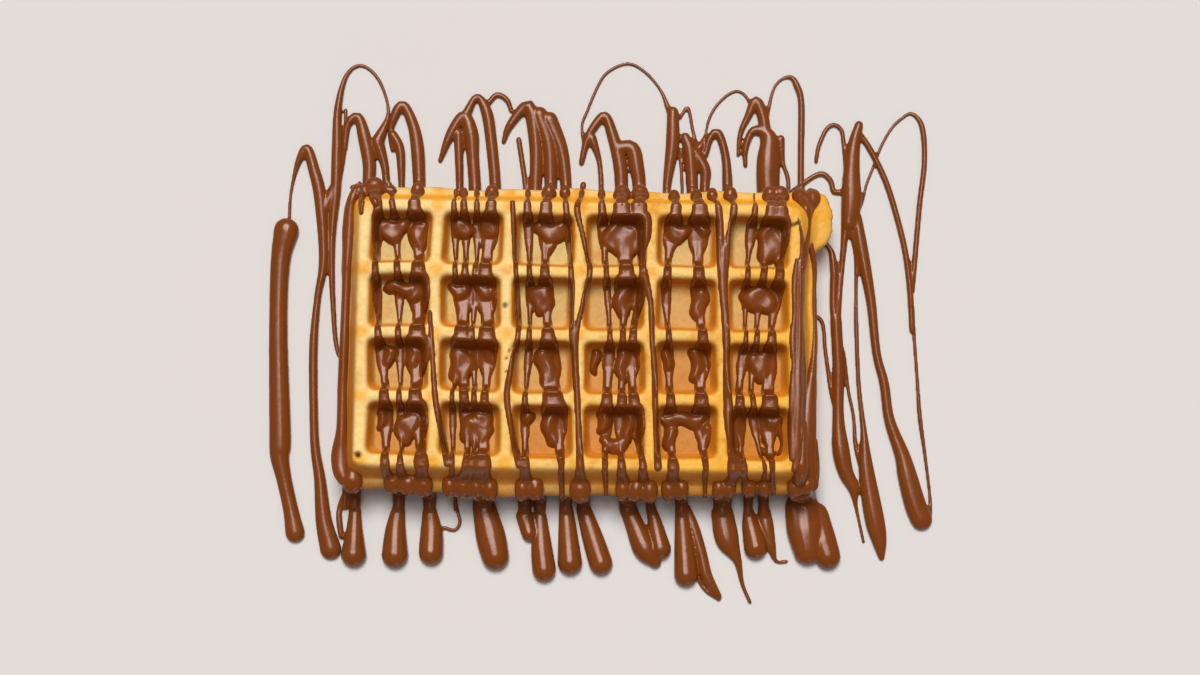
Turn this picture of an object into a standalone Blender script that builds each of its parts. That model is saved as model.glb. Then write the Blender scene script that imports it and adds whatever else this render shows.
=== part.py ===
"""A rectangular waffle of six by four pockets, with melted milk chocolate poured back and forth over it.

The waffle stands on its underside at z = 0. X runs to its right, Y to its back and Z up, and the origin
is the middle of the underside, on a crossing of two ridges. The chocolate has set, so it is one piece
with the waffle: strands that cross it, pools in its pockets, and the loops and drops that ran out beside
it. Sizes are in millimetres, and become metres where a mesh is made.
"""

import math

import bmesh
import bpy
from mathutils import Vector

MM = 0.001

# The waffle
COLUMNS = 6
ROWS = 4
PITCH_X = 27.5
PITCH_Y = 24.5
RIDGE = 4.4
THICKNESS = 28.0
POCKET_DEPTH = 9.5
WALL_RUN = 2.5
SHOULDER = 0.7
POCKET_CORNER = 3.0
FLOOR = THICKNESS - POCKET_DEPTH
HALF_X = (COLUMNS * PITCH_X + RIDGE) / 2
HALF_Y = (ROWS * PITCH_Y + RIDGE) / 2
BODY_CORNER = 6.0
OUTLINE_STEP = 24.0
SHARP_ANGLE = math.radians(40.0)

# The lip where the two baking plates met, and the slopes above and below it
SLOPE_RUN = 3.5
LIP_LOW = 12.5
LIP_HIGH = 16.5
LIP_REACH = 7.2
LIP_EXTRA_FRONT = 2.6
LIP_CREASE = LIP_HIGH + 1.0
LIP_FALL = 0.25

# The thin flap of batter that ran out at the back right corner: x and y round it
FLAP = [(84, 58), (93, 61.5), (96.5, 59), (97.5, 53), (97.5, 43), (94, 39), (88, 42)]

# The chocolate
BOARD_GAP = 0.15
COAT = 1.1
CREST_THICKNESS = 1.1
POOL_DEPTH = 2.2
POOL_OVERLAP = 0.5
POOL_BRIM = 0.6
CORE_BOTTOM = 14.5
CROWN = 0.8
POCKET_FOOT = 6.2
CREST_HALF = 1.7
FLAT_STEP = 12.0
RIDGE_STEP = 16.0
WIDE_STRAND = 3.6
CORNER_STEPS = 2
DRIP_SIDES = 5
DRIP_HALF_DEPTH = 1.5
MOST_TRIANGLES = 11000

# Sections of a strand on the board, from its left to its right: shares of its half width and its height
NARROW_SECTION = [(-1, 0), (-0.6, 1), (0.6, 1), (1, 0)]
WIDE_SECTION = [(-1, 0), (-0.75, 0.7), (0, 1), (0.75, 0.7), (1, 0)]

# Each strand that lies flat beside the waffle is a list of (x, y, half width), chosen by hand
LEFT_STRANDS = {
    "outer": [(-116, 43, 4.6), (-118, 28, 4.1), (-118, 0, 4.0), (-116, -40, 4.2), (-114, -56, 3.1),
              (-110, -68, 3.2), (-109, -77, 4.2)],
    "arch": [(-115, 42, 0.7), (-115, 56, 0.7), (-113, 68, 1.1), (-109, 75, 2.0), (-105, 67, 2.4),
             (-102, 50, 2.3), (-103, 20, 1.6), (-103, -30, 1.9), (-100, -56, 2.5), (-95, -80, 4.4)],
    "inner": [(-81, 78, 2.8), (-77, 92, 0.8), (-82, 105, 0.8), (-90, 109, 0.8), (-96, 96, 1.5),
              (-97, 76, 2.3), (-98, 58, 2.5), (-97, 38, 1.7), (-96, 15, 1.3), (-92, -4, 1.0)],
    "inner_run": [(-98, 60, 2.0), (-101, 52, 2.2)],
    "inner_foot": [(-92, -1, 1.1), (-84, -4, 1.1)],
}
BACK_LOOPS = {
    "first": [(-94, 76, 1.2), (-92, 87, 1.8), (-88, 86, 2.4), (-85, 75, 2.8), (-83, 50, 2.4)],
    "first_leg": [(-81, 79, 2.6), (-78, 68, 1.8), (-76, 50, 1.6)],
    "second": [(-75, 75, 1.0), (-76, 83, 1.4), (-71, 93, 2.2), (-67, 85, 2.5), (-64, 50, 2.6)],
    "second_web": [(-75, 82, 1.8), (-71, 79, 2.0), (-71, 50, 1.4)],
    "third": [(-56, 72, 1.0), (-52, 83, 2.0), (-47, 90, 2.4), (-43, 78, 3.0), (-42, 50, 2.6)],
    "third_leg": [(-50, 85, 1.8), (-48, 50, 1.6)],
    "fourth": [(-47, 90, 2.0), (-42, 97, 1.6), (-37, 90, 2.4), (-34, 50, 2.4)],
    "fourth_hook": [(-38, 94, 1.2), (-34, 98, 1.2), (-30, 96, 1.2), (-28, 91, 1.0)],
    "fifth": [(-31, 80, 1.0), (-28, 88, 1.7), (-22, 93, 2.8), (-18, 82, 2.8), (-18, 50, 2.6)],
    "fifth_middle": [(-20, 90, 3.0), (-14, 86, 3.4), (-12, 50, 2.7)],
    "fifth_right": [(-15, 87, 3.0), (-8, 80, 2.9), (-6, 50, 2.4)],
    "fifth_thread": [(-24, 84, 1.1), (-22, 50, 1.1)],
    "thin_arch": [(2, 80, 0.9), (1, 91, 0.7), (8, 106, 0.7), (18, 113, 0.7), (28, 105, 0.7),
                  (35, 91, 1.4)],
    "sixth": [(0, 71, 1.2), (3, 83, 1.8), (9, 90, 2.1), (13, 81, 2.5), (16, 50, 2.8)],
    "sixth_leg": [(4, 83, 1.6), (8, 70, 1.2), (8, 50, 1.2)],
    "sixth_right": [(14, 78, 2.4), (20, 76, 3.0), (23, 50, 2.9)],
    "seventh": [(36, 93, 2.4), (36, 80, 2.8), (35, 50, 1.8)],
    "seventh_arch": [(38, 88, 1.0), (42, 95, 0.9), (45, 80, 1.1)],
    "eighth": [(41, 83, 2.2), (44, 72, 2.7), (44, 50, 2.4)],
    "eighth_right": [(44, 79, 2.4), (49, 70, 2.4), (49, 50, 2.0)],
    "ninth": [(49, 74, 1.4), (51, 83, 1.7), (55, 84, 1.8), (58, 70, 2.0), (58, 50, 2.3)],
    "ninth_arch": [(48, 79, 1.4), (50, 90, 0.7), (56, 99, 0.7), (63, 101, 0.7), (69, 93, 1.0)],
    "tenth": [(62, 75, 0.9), (64, 88, 1.5), (69, 97, 2.3), (72, 90, 2.4), (73, 80, 2.4)],
    "eleventh": [(65, 72, 1.2), (66, 82, 1.6), (71, 86, 2.8), (75, 76, 4.4), (75, 50, 4.6)],
    "eleventh_leg": [(77, 84, 1.8), (80, 72, 1.2), (82, 50, 1.1)],
    "corner_arch": [(74, 92, 1.0), (77, 104, 0.8), (83, 107, 1.1), (87, 97, 1.4), (87, 50, 1.5)],
}
RIGHT_STRANDS = {
    "crook": [(93, 73, 0.9), (96, 85, 1.1), (100, 89, 1.1), (104, 82, 1.1), (105, 70, 1.1)],
    "curl": [(84, 62, 1.2), (92, 69, 1.3), (97, 68, 1.3), (100, 62, 1.3), (105, 62, 1.3)],
    "main": [(110, 90, 1.8), (108, 76, 3.2), (107, 58, 4.0), (106, 48, 3.2)],
    "main_left": [(105, 50, 2.0), (103, 28, 1.4), (101, 8, 2.2), (102, -26, 2.4), (105, -48, 3.2),
                  (108, -58, 1.6), (112, -76, 0.7)],
    "main_right": [(109, 52, 2.2), (113, 29, 2.4), (117, -2, 1.9), (122, -28, 2.2), (129, -50, 3.6),
                   (135, -67, 4.4)],
    "middle": [(108, 50, 1.6), (109, 23, 0.9), (110, -14, 1.0), (113, -46, 2.8), (117, -68, 3.9),
               (119, -81, 1.6)],
    "edge": [(86, 44, 1.4), (97, 40, 1.2), (100, 30, 1.6), (101, 8, 1.6)],
    "edge_low": [(84, 12, 1.0), (95, 11, 1.0), (98, -9, 1.0), (101, -22, 1.2)],
    "cross": [(102, 2, 0.9), (106, -16, 0.9), (110, -40, 1.1)],
    "long": [(110, 86, 1.3), (120, 68, 1.3), (128, 40, 1.3), (131, 16, 1.2), (132, -6, 0.8),
             (135, -34, 0.9), (138, -60, 0.9), (136, -68, 1.8)],
    "great_arch": [(110, 56, 0.8), (116, 74, 0.7), (123, 88, 0.7), (130, 94, 0.9), (135, 86, 1.2),
                   (135, 62, 1.2), (132, 36, 1.2), (130, 20, 1.2)],
}
FRONT_DROPS = {
    "corner_left": [(-86, -46, 2.2), (-86, -66, 2.4), (-86, -74, 3.4), (-86, -83, 4.8)],
    "corner_thread": [(-86, -48, 1.3), (-91, -60, 1.2), (-92, -70, 1.3), (-91, -76, 1.3)],
    "second": [(-69, -46, 2.4), (-69, -65, 2.6), (-70, -75, 4.2), (-70, -83, 5.0)],
    "third": [(-57, -46, 2.4), (-57, -66, 2.8), (-56, -75, 4.5), (-56, -82, 4.7)],
    "third_hook": [(-48, -46, 1.0), (-46, -66, 0.8), (-46, -72, 0.8), (-51, -73, 0.8)],
    "fourth": [(-36, -46, 4.0), (-36, -63, 4.5), (-33, -75, 5.6), (-31, -83, 5.4)],
    "fifth": [(-20, -46, 3.0), (-20, -67, 3.5), (-18, -75, 3.2)],
    "fifth_right": [(-14, -46, 2.8), (-14, -68, 2.9), (-13, -80, 4.2), (-12, -88, 4.5)],
    "sixth": [(-4, -46, 2.6), (-4, -63, 2.8), (-3, -75, 3.9), (-2, -85, 4.7)],
    "sixth_right": [(2, -46, 2.4), (3, -65, 3.0), (7, -76, 4.2), (10, -85, 4.6)],
    "seventh": [(20, -46, 3.6), (20, -61, 3.5), (24, -72, 4.2), (30, -82, 3.8)],
    "seventh_right": [(29, -46, 1.8), (29, -61, 1.9), (31, -71, 3.2), (33, -79, 4.4)],
    "eighth": [(41, -46, 2.6), (41, -63, 2.7), (42, -76, 3.7), (43, -89, 4.6)],
    "eighth_right": [(43, -64, 2.2), (47, -74, 2.5), (51, -89, 2.3), (56, -98, 1.4)],
    "ninth": [(57, -46, 3.2), (57, -64, 4.4), (59, -76, 4.2), (64, -88, 1.5), (68, -100, 0.9)],
    "tenth": [(67, -46, 1.8), (67, -60, 2.0), (68, -70, 3.5), (70, -78, 4.5)],
    "eleventh": [(74, -46, 2.2), (73, -60, 2.4), (74, -70, 3.0), (77, -80, 1.5), (81, -84, 0.8)],
    "corner_right": [(84, -46, 6.0), (87, -62, 6.6), (88, -74, 6.4), (90, -81, 5.2)],
    "corner_right_lobe": [(88, -52, 5.0), (93, -66, 5.6), (97, -80, 5.2)],
}

# Each strand over the waffle is a list of (x, half width), at the back lip, the five crests and the front lip
CROSSINGS = {
    "a": [(-80.5, 3.4), (-78.0, 1.7), (-78.0, 1.3), (-76.5, 1.5), (-73.5, 2.0), (-73.0, 1.9), (-71.0, 2.8)],
    "b": [(-73.5, 1.5), (-72.5, 1.5), (-70.0, 1.5), (-69.0, 1.3), (-68.0, 1.2), (-67.0, 1.3), (-66.0, 2.6)],
    "c": [(-63.5, 2.7), (-64.0, 2.7), (-62.0, 2.9), (-61.5, 3.3), (-61.5, 2.7), (-59.0, 2.9), (-59.0, 3.6)],
    "d": [(-46.0, 2.4), (-46.0, 2.4), (-45.0, 2.2), (-44.5, 3.3), (-44.0, 2.4), (-43.0, 2.2), (-46.5, 3.1)],
    "e": [(-35.5, 3.0), (-35.5, 3.0), (-36.5, 3.2), (-36.0, 3.4), (-36.0, 2.4), (-36.0, 3.4), (-36.0, 4.4)],
    "f": [(-20.5, 1.3), (-20.5, 1.7), (-19.0, 1.3), (-19.0, 1.3), (-20.0, 1.4), (-19.5, 1.9), (-19.0, 3.5)],
    "g": [(-12.5, 2.9), (-13.5, 2.5), (-13.5, 1.9), (-11.5, 2.7), (-9.5, 4.0), (-6.0, 1.4), (-5.5, 1.8)],
    "h": [(-6.0, 2.1), (-5.5, 1.3), (-3.5, 1.2), (-2.5, 1.2), (-0.5, 1.3), (1.0, 1.7), (1.5, 3.1)],
    "i": [(8.0, 1.5), (8.0, 1.7), (10.0, 1.3), (12.0, 1.3), (11.0, 2.3), (10.5, 1.3), (11.5, 1.3)],
    "j": [(19.0, 5.6), (19.0, 5.8), (20.0, 4.4), (18.5, 3.0), (19.0, 3.6), (20.5, 3.6), (22.0, 5.0)],
    "k": [(36.0, 2.3), (36.5, 2.3), (34.0, 1.7), (34.5, 1.4), (35.5, 1.9), (36.5, 2.3), (37.5, 3.8)],
    "l": [(45.0, 2.3), (46.0, 3.2), (45.5, 2.3), (47.5, 2.1), (47.0, 2.9), (48.5, 1.4), (49.0, 1.4)],
    "m": [(54.5, 4.4), (56.0, 3.6), (55.0, 2.0), (56.5, 1.7), (57.0, 1.8), (59.5, 2.6), (58.0, 3.4)],
    "n": [(68.0, 1.3), (67.0, 1.3), (64.5, 1.3), (64.0, 1.3), (62.0, 1.9), (63.5, 1.4), (66.0, 2.3)],
    "o": [(75.0, 5.0), (75.0, 5.0), (73.5, 3.8), (71.0, 3.4), (70.0, 3.6), (72.5, 2.0), (73.5, 2.4)],
}
BORDERS = {
    "left": [(-89.0, 2.3), (-88.0, 2.3), (-87.5, 1.7), (-88.0, 1.9), (-88.5, 3.0), (-88.0, 3.6),
             (-88.0, 4.4)],
    "right": [(88.5, 3.8), (87.0, 2.9), (85.5, 2.5), (85.0, 2.5), (86.0, 3.0), (87.0, 3.6), (88.0, 5.2)],
}

# Short strands along the top of a ridge: (x, y, half width)
RIDGE_STRANDS = [
    [(-56.5, -3, 1.2), (-55.0, -24, 1.3), (-53.5, -44, 1.4)],
    [(-26.0, 48, 1.0), (-25.5, 20, 1.0), (-26.5, -4, 1.1)],
    [(-28.5, -10, 1.2), (-26.5, -24, 1.3), (-25.5, -46, 1.3)],
    [(1.5, 48, 1.3), (1.0, 34, 1.3), (2.0, 22, 1.2)],
    [(-1.0, -10, 1.2), (-0.5, -26, 1.1), (0.0, -40, 1.1)],
    [(26.0, 24, 1.2), (27.5, 0, 1.3), (28.5, -46, 1.3)],
]

# A pool in a pocket: column, row from the back, then left, right, front and back in halves of the floor
POOLS = [
    (0, 0, -1.0, 0.2, 0.0, 1.0), (1, 0, -1.0, 1.0, 0.0, 1.0), (2, 0, -0.6, 1.0, 0.0, 1.0),
    (3, 0, -0.6, 1.0, -0.8, 1.0), (4, 0, -1.0, 0.1, 0.0, 1.0), (5, 0, -0.1, 1.0, -0.9, 1.0),
    (0, 1, -0.8, 0.6, 0.3, 1.0), (1, 1, -1.0, 1.0, 0.3, 1.0), (2, 1, -0.6, 0.5, -0.7, 1.0),
    (3, 1, -0.1, 0.7, -0.7, 1.0), (4, 1, 0.1, 0.9, -0.6, 1.0), (5, 1, -0.7, 0.8, -0.4, 1.0),
    (1, 2, -0.9, 0.1, -0.9, 0.9), (2, 2, -0.3, 0.5, -0.9, 1.0), (3, 2, 0.0, 0.6, -0.6, 1.0),
    (4, 2, 0.1, 0.7, -0.7, 1.0), (5, 2, -0.4, 0.6, -0.5, 1.0), (0, 3, -0.2, 0.9, -0.7, 0.8),
    (1, 3, -0.5, 0.9, -0.8, 0.6), (2, 3, 0.0, 0.7, -0.8, 0.8), (3, 3, -0.5, 0.7, -0.9, 0.6),
    (4, 3, -1.0, 0.9, 0.3, 1.0), (5, 3, 0.2, 1.0, -0.9, 0.9),
]

# Where chocolate ran over the lip and down to the level of the underside: (x, half width)
FRONT_DRIPS = [(-86, 2.6), (-69, 2.6), (-57, 2.8), (-36, 4.2), (-20, 2.6), (-14, 2.6), (-4, 2.6), (3, 2.4),
               (20, 3.6), (29, 1.8), (41, 2.6), (57, 4.0), (68, 2.0), (74, 2.2), (86, 5.6)]
BACK_DRIPS = [(-83, 2.2), (-64, 2.4), (-42, 2.4), (-34, 2.2), (-12, 4.4), (20, 4.4), (44, 2.2), (57, 2.2),
              (75, 4.0)]

BAKED_COLOR = (0.80, 0.47, 0.13, 1.0)
BAKED_ROUGHNESS = 0.7
CHOCOLATE_COLOR = (0.16, 0.048, 0.018, 1.0)
CHOCOLATE_ROUGHNESS = 0.25


def clear_scene():
    """Starts from an empty scene."""
    for item in list(bpy.data.objects):
        bpy.data.objects.remove(item)


def material(name, color, roughness):
    """A plain glossy or matt material."""
    made = bpy.data.materials.new(name)
    made.use_nodes = True
    shader = made.node_tree.nodes["Principled BSDF"]
    shader.inputs["Base Color"].default_value = color
    shader.inputs["Roughness"].default_value = roughness
    shader.inputs["Metallic"].default_value = 0.0
    return made


def mesh_object(name, rings_list, materials, material_index):
    """One object of closed bodies, each a loft through rings of equal length, with its two ends filled."""
    mesh = bmesh.new()
    for rings in rings_list:
        rows = [[mesh.verts.new(Vector(point) * MM) for point in ring] for ring in rings]
        count = len(rows[0])
        for low, high in zip(rows, rows[1:]):
            for k in range(count):
                following = (k + 1) % count
                mesh.faces.new((low[k], low[following], high[following], high[k]))
        mesh.faces.new(rows[0][::-1])
        mesh.faces.new(rows[-1])
    for face in mesh.faces:
        face.material_index = material_index
        face.smooth = True
    bmesh.ops.recalc_face_normals(mesh, faces=mesh.faces)
    data = bpy.data.meshes.new(name)
    mesh.to_mesh(data)
    mesh.free()
    for slot in materials:
        data.materials.append(slot)
    made = bpy.data.objects.new(name, data)
    bpy.context.scene.collection.objects.link(made)
    return made


def rounded_rectangle(half_x, half_y, corner, steps):
    """Points round a rectangle with round corners, anticlockwise from its right side."""
    points = []
    for quarter, (side_x, side_y) in enumerate([(1, 1), (-1, 1), (-1, -1), (1, -1)]):
        for k in range(steps + 1):
            angle = math.pi / 2 * (quarter + k / steps)
            x = side_x * (half_x - corner) + corner * math.cos(angle)
            y = side_y * (half_y - corner) + corner * math.sin(angle)
            points.append((x, y))
    return points


def body_ring(z, grow, extra_front):
    """The waffle's outline at one height, with more reach at the front and a slight wave along the lip."""
    ring = []
    outline = rounded_rectangle(HALF_X + grow, HALF_Y + grow, BODY_CORNER, CORNER_STEPS)
    for start, end in zip(outline, outline[1:] + outline[:1]):
        pieces = max(1, round(math.dist(start, end) / OUTLINE_STEP))
        for k in range(pieces):
            x = start[0] + (end[0] - start[0]) * k / pieces
            y = start[1] + (end[1] - start[1]) * k / pieces
            if y < 0:
                y -= extra_front * (0.55 + 0.45 * math.cos((x + 8.0) / 30.0)) * (-y / HALF_Y)
            ring.append((x, y, z))
    return ring


def waffle_body(materials):
    """The baked body without its pockets: base, lower slope, lip, upper slope and top."""
    sections = [
        (0.0, 0.0, 0.0),
        (0.8, 0.6, 0.0),
        (LIP_LOW - 1.5, SLOPE_RUN, 0.0),
        (LIP_LOW, LIP_REACH - 1.0, LIP_EXTRA_FRONT),
        ((LIP_LOW + LIP_HIGH) / 2, LIP_REACH, LIP_EXTRA_FRONT),
        (LIP_HIGH, LIP_REACH - 1.0, LIP_EXTRA_FRONT),
        (LIP_CREASE, SLOPE_RUN, 0.6),
        (THICKNESS - 0.8, 0.6, 0.0),
        (THICKNESS, 0.0, 0.0),
    ]
    return mesh_object("waffle", [[body_ring(*section) for section in sections]], materials, 0)


def pocket_centre(column, row):
    """The middle of a pocket. Rows count from the back."""
    return (column - (COLUMNS - 1) / 2) * PITCH_X, ((ROWS - 1) / 2 - row) * PITCH_Y


def pocket_cutters(materials):
    """Tapered plugs for the pockets of both faces, with a soft shoulder at the rim of the upper ones."""
    rim_x = (PITCH_X - RIDGE) / 2
    rim_y = (PITCH_Y - RIDGE) / 2
    above = [(-1.0, SHOULDER * 2), (0.0, SHOULDER), (SHOULDER, 0.0), (POCKET_DEPTH, -WALL_RUN)]
    below = [(-1.0, 0.3), (POCKET_DEPTH, -WALL_RUN)]
    plugs = []
    for column in range(COLUMNS):
        for row in range(ROWS):
            x, y = pocket_centre(column, row)
            for levels, upper in ((above, True), (below, False)):
                rings = []
                for depth, grow in levels:
                    z = THICKNESS - depth if upper else depth
                    outline = rounded_rectangle(rim_x + grow, rim_y + grow, POCKET_CORNER, 1)
                    rings.append([(x + px, y + py, z) for px, py in outline])
                plugs.append(rings)
    cutter = mesh_object("pocket_cutter", plugs, materials, 0)
    cutter.hide_render = True
    cutter.display_type = "WIRE"
    return cutter


def relief(x, y, coat=0.0):
    """Height of the waffle's upper face, or of a coat of chocolate on it."""
    over_x = abs(x) - HALF_X - coat
    over_y = abs(y) - HALF_Y - coat
    beyond = max(over_x, over_y)
    if beyond > 0.0:
        if beyond < SLOPE_RUN:
            return THICKNESS + (LIP_CREASE - THICKNESS) * beyond / SLOPE_RUN
        return LIP_CREASE - LIP_FALL * (beyond - SLOPE_RUN)
    column = min(COLUMNS - 1, max(0, math.floor(x / PITCH_X + COLUMNS / 2)))
    row = min(ROWS - 1, max(0, math.floor(ROWS / 2 - y / PITCH_Y)))
    middle_x, middle_y = pocket_centre(column, row)
    into_x = (PITCH_X - RIDGE) / 2 - coat - abs(x - middle_x)
    into_y = (PITCH_Y - RIDGE) / 2 - coat - abs(y - middle_y)
    depth = max(0.0, min(into_x, into_y) / WALL_RUN)
    return THICKNESS - POCKET_DEPTH * min(1.0, depth)


def smooth_path(points, step):
    """Points along a smooth curve through a strand's own points: x, y and half width."""
    vectors = [Vector(point) for point in points]
    padded = [vectors[0] * 2 - vectors[1]] + vectors + [vectors[-1] * 2 - vectors[-2]]
    path = []
    for k in range(1, len(padded) - 2):
        before, start, end, after = padded[k - 1:k + 3]
        pieces = max(1, round((end - start).length / step))
        for piece in range(pieces):
            t = piece / pieces
            slope = (end - before) * t + (2 * before - 5 * start + 4 * end - after) * t ** 2
            bend = (3 * start - 3 * end + after - before) * t ** 3
            path.append(start + (slope + bend) / 2)
    return path + [vectors[-1]]


def strand_height(half_width):
    """How high a strand of set chocolate stands on a flat board."""
    return min(1.3 * half_width, 1.1 + 0.6 * half_width)


def flat_strand(points):
    """Rings of a strand that lies on the board, flat below and round above, with round ends."""
    wide = max(point[2] for point in points) > WIDE_STRAND
    section = WIDE_SECTION if wide else NARROW_SECTION
    path = smooth_path(points, FLAT_STEP)
    stations = []
    for k, point in enumerate(path):
        ahead = path[min(k + 1, len(path) - 1)]
        behind = path[max(k - 1, 0)]
        along = Vector((ahead.x - behind.x, ahead.y - behind.y)).normalized()
        stations.append((point.x, point.y, point.z, strand_height(point.z), along))
    for index, sign in ((0, -1), (-1, 1)):
        x, y, half, height, along = stations[index]
        onward = along * (sign * half * 0.8)
        tip = (x + onward.x, y + onward.y, half / 2, height / 2, along)
        stations.insert(0 if index == 0 else len(stations), tip)
    rings = []
    for x, y, half, height, along in stations:
        rings.append([(x - along.y * across * half, y + along.x * across * half, BOARD_GAP + up * height)
                      for across, up in section])
    return rings


def crossing(values):
    """Rings of a strand that runs from lip to lip, over every ridge and through every pocket."""
    foot = PITCH_Y / 2 - POCKET_FOOT
    crests = [(ROWS / 2 - k) * PITCH_Y for k in range(ROWS + 1)]
    lip = HALF_Y + LIP_REACH
    slope_foot = HALF_Y + SLOPE_RUN + 0.6
    places = [lip + 0.6] + crests + [-lip - 1.8]
    stations = [(lip - 0.4, 0.9, -0.6), (slope_foot, 0.9, 0.2)]
    for k, crest in enumerate(crests):
        if k > 0:
            stations.append((crest + foot, 0.95, 0.5))
        stations.append((crest + CREST_HALF, 1.0, 0.0))
        stations.append((crest - CREST_HALF, 1.0, 0.0))
        if k < ROWS:
            stations.append((crest - foot, 1.15, 0.9))
    stations += [(-slope_foot, 0.9, 0.2), (-lip - 1.4, 0.9, -0.6)]
    rings = []
    for y, swell, lift in stations:
        k = next((i for i in range(len(places) - 2) if y > places[i + 1]), len(places) - 2)
        t = min(1.0, max(0.0, (places[k] - y) / (places[k] - places[k + 1])))
        x = values[k][0] * (1 - t) + values[k + 1][0] * t
        half = (values[k][1] * (1 - t) + values[k + 1][1] * t) * swell
        rings.append(over_ring(x, y, half, lift))
    return rings


def over_ring(x, y, half, lift):
    """One upright ring of a strand on the waffle: its top follows the relief and its bottom is inside."""
    top = CREST_THICKNESS + lift
    drop = 1.0 if abs(y) > HALF_Y + LIP_REACH else 0.0
    ring = [(x - half, y, CORE_BOTTOM - drop)]
    for part in (-CROWN, CROWN):
        ring.append((x + part * half, y, relief(x, y, COAT) + top))
    ring.append((x + half, y, CORE_BOTTOM - drop))
    return ring


def ridge_strand(points):
    """Rings of a short strand on top of a ridge."""
    rings = []
    for x, y, half in smooth_path(points, RIDGE_STEP):
        top = THICKNESS + CREST_THICKNESS
        rings.append([(x - half, y, CORE_BOTTOM), (x - CROWN * half, y, top), (x + CROWN * half, y, top),
                      (x + half, y, CORE_BOTTOM)])
    return rings


def pool(column, row, left, right, front, back):
    """Rings of a pool with a level top on a pocket's floor."""
    middle_x, middle_y = pocket_centre(column, row)
    reach_x = (PITCH_X - RIDGE) / 2 - WALL_RUN + POOL_OVERLAP
    reach_y = (PITCH_Y - RIDGE) / 2 - WALL_RUN + POOL_OVERLAP
    x = middle_x + reach_x * (left + right) / 2
    y = middle_y + reach_y * (front + back) / 2
    half_x = reach_x * (right - left) / 2
    half_y = reach_y * (back - front) / 2
    corner = min(half_x, half_y) * 0.6
    rings = []
    for z, shrink in ((CORE_BOTTOM, 0.0), (FLOOR + POOL_DEPTH, POOL_BRIM)):
        outline = rounded_rectangle(half_x - shrink, half_y - shrink, max(0.4, corner - shrink), 1)
        rings.append([(x + px, y + py, z) for px, py in outline])
    return rings


def drip(x, half, side):
    """Rings of a run that hangs from the lip to the board. Side is 1 at the back and -1 in front."""
    edge = HALF_Y + LIP_REACH + (LIP_EXTRA_FRONT * 0.6 if side < 0 else 0.0)
    levels = [(LIP_HIGH + 1.2, -0.8, 0.8), (LIP_LOW - 2.0, 0.4, 0.85), (BOARD_GAP, 0.8, 0.85)]
    rings = []
    for z, out, width in levels:
        middle = side * (edge + out)
        ring = []
        for k in range(DRIP_SIDES):
            angle = math.tau * (k + 0.25) / DRIP_SIDES
            ring.append((x + half * width * math.cos(angle), middle + DRIP_HALF_DEPTH * math.sin(angle), z))
        rings.append(ring)
    return rings


def corner_flap():
    """Rings of the thin flap at the back right corner."""
    return [[(x, y, z) for x, y in FLAP] for z in (LIP_LOW + 0.6, LIP_HIGH - 0.2)]


def chocolate(materials):
    """Every strand, pool, loop and drop as closed bodies in a collection, still apart from each other."""
    flat = []
    for group in (LEFT_STRANDS, BACK_LOOPS, RIGHT_STRANDS, FRONT_DROPS):
        flat += [flat_strand(points) for points in group.values()]
    across = [crossing(values) for values in list(CROSSINGS.values()) + list(BORDERS.values())]
    across += [ridge_strand(points) for points in RIDGE_STRANDS]
    pools = [pool(*values) for values in POOLS]
    drips = [drip(x, half, -1) for x, half in FRONT_DRIPS] + [drip(x, half, 1) for x, half in BACK_DRIPS]
    group = bpy.data.collections.new("poured")
    for k, rings in enumerate(flat + across + pools + drips):
        piece = mesh_object(f"poured_{k}", [rings], materials, 1)
        bpy.context.scene.collection.objects.unlink(piece)
        group.objects.link(piece)
    flap = mesh_object("flap", [corner_flap()], materials, 0)
    bpy.context.scene.collection.objects.unlink(flap)
    group.objects.link(flap)
    bpy.context.scene.collection.children.link(group)
    return group


def apply_boolean(target, operation, other, solver):
    """Cuts or joins, and keeps the result as the target's own mesh."""
    step = target.modifiers.new(operation.lower(), "BOOLEAN")
    step.operation = operation
    step.solver = solver
    if operation == "UNION":
        step.operand_type = "COLLECTION"
        step.collection = other
    else:
        step.object = other
    bpy.context.view_layer.update()
    result = bpy.data.meshes.new_from_object(target.evaluated_get(bpy.context.evaluated_depsgraph_get()))
    target.modifiers.clear()
    target.data = result


def keep_one_body(target):
    """Drops loose scraps, and fills any hollow that joining has sealed, by keeping only the largest shell."""
    mesh = bmesh.new()
    mesh.from_mesh(target.data)
    left = set(mesh.faces)
    shells = []
    while left:
        queue = [left.pop()]
        shell = set(queue)
        while queue:
            for edge in queue.pop().edges:
                for face in edge.link_faces:
                    if face in left:
                        left.remove(face)
                        shell.add(face)
                        queue.append(face)
        shells.append(shell)
    shells.sort(key=len, reverse=True)
    spare = [face for shell in shells[1:] for face in shell]
    bmesh.ops.delete(mesh, geom=spare, context="FACES")
    bmesh.ops.triangulate(mesh, faces=mesh.faces)
    mesh.to_mesh(target.data)
    mesh.free()


def thin_out(target, most):
    """Collapses the short edges that joining leaves behind, down to a number of triangles."""
    step = target.modifiers.new("thin_out", "DECIMATE")
    step.ratio = min(1.0, most / len(target.data.polygons))
    step.use_collapse_triangulate = True
    bpy.context.view_layer.update()
    result = bpy.data.meshes.new_from_object(target.evaluated_get(bpy.context.evaluated_depsgraph_get()))
    target.modifiers.clear()
    target.data = result
    target.data.set_sharp_from_angle(angle=SHARP_ANGLE)


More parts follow.
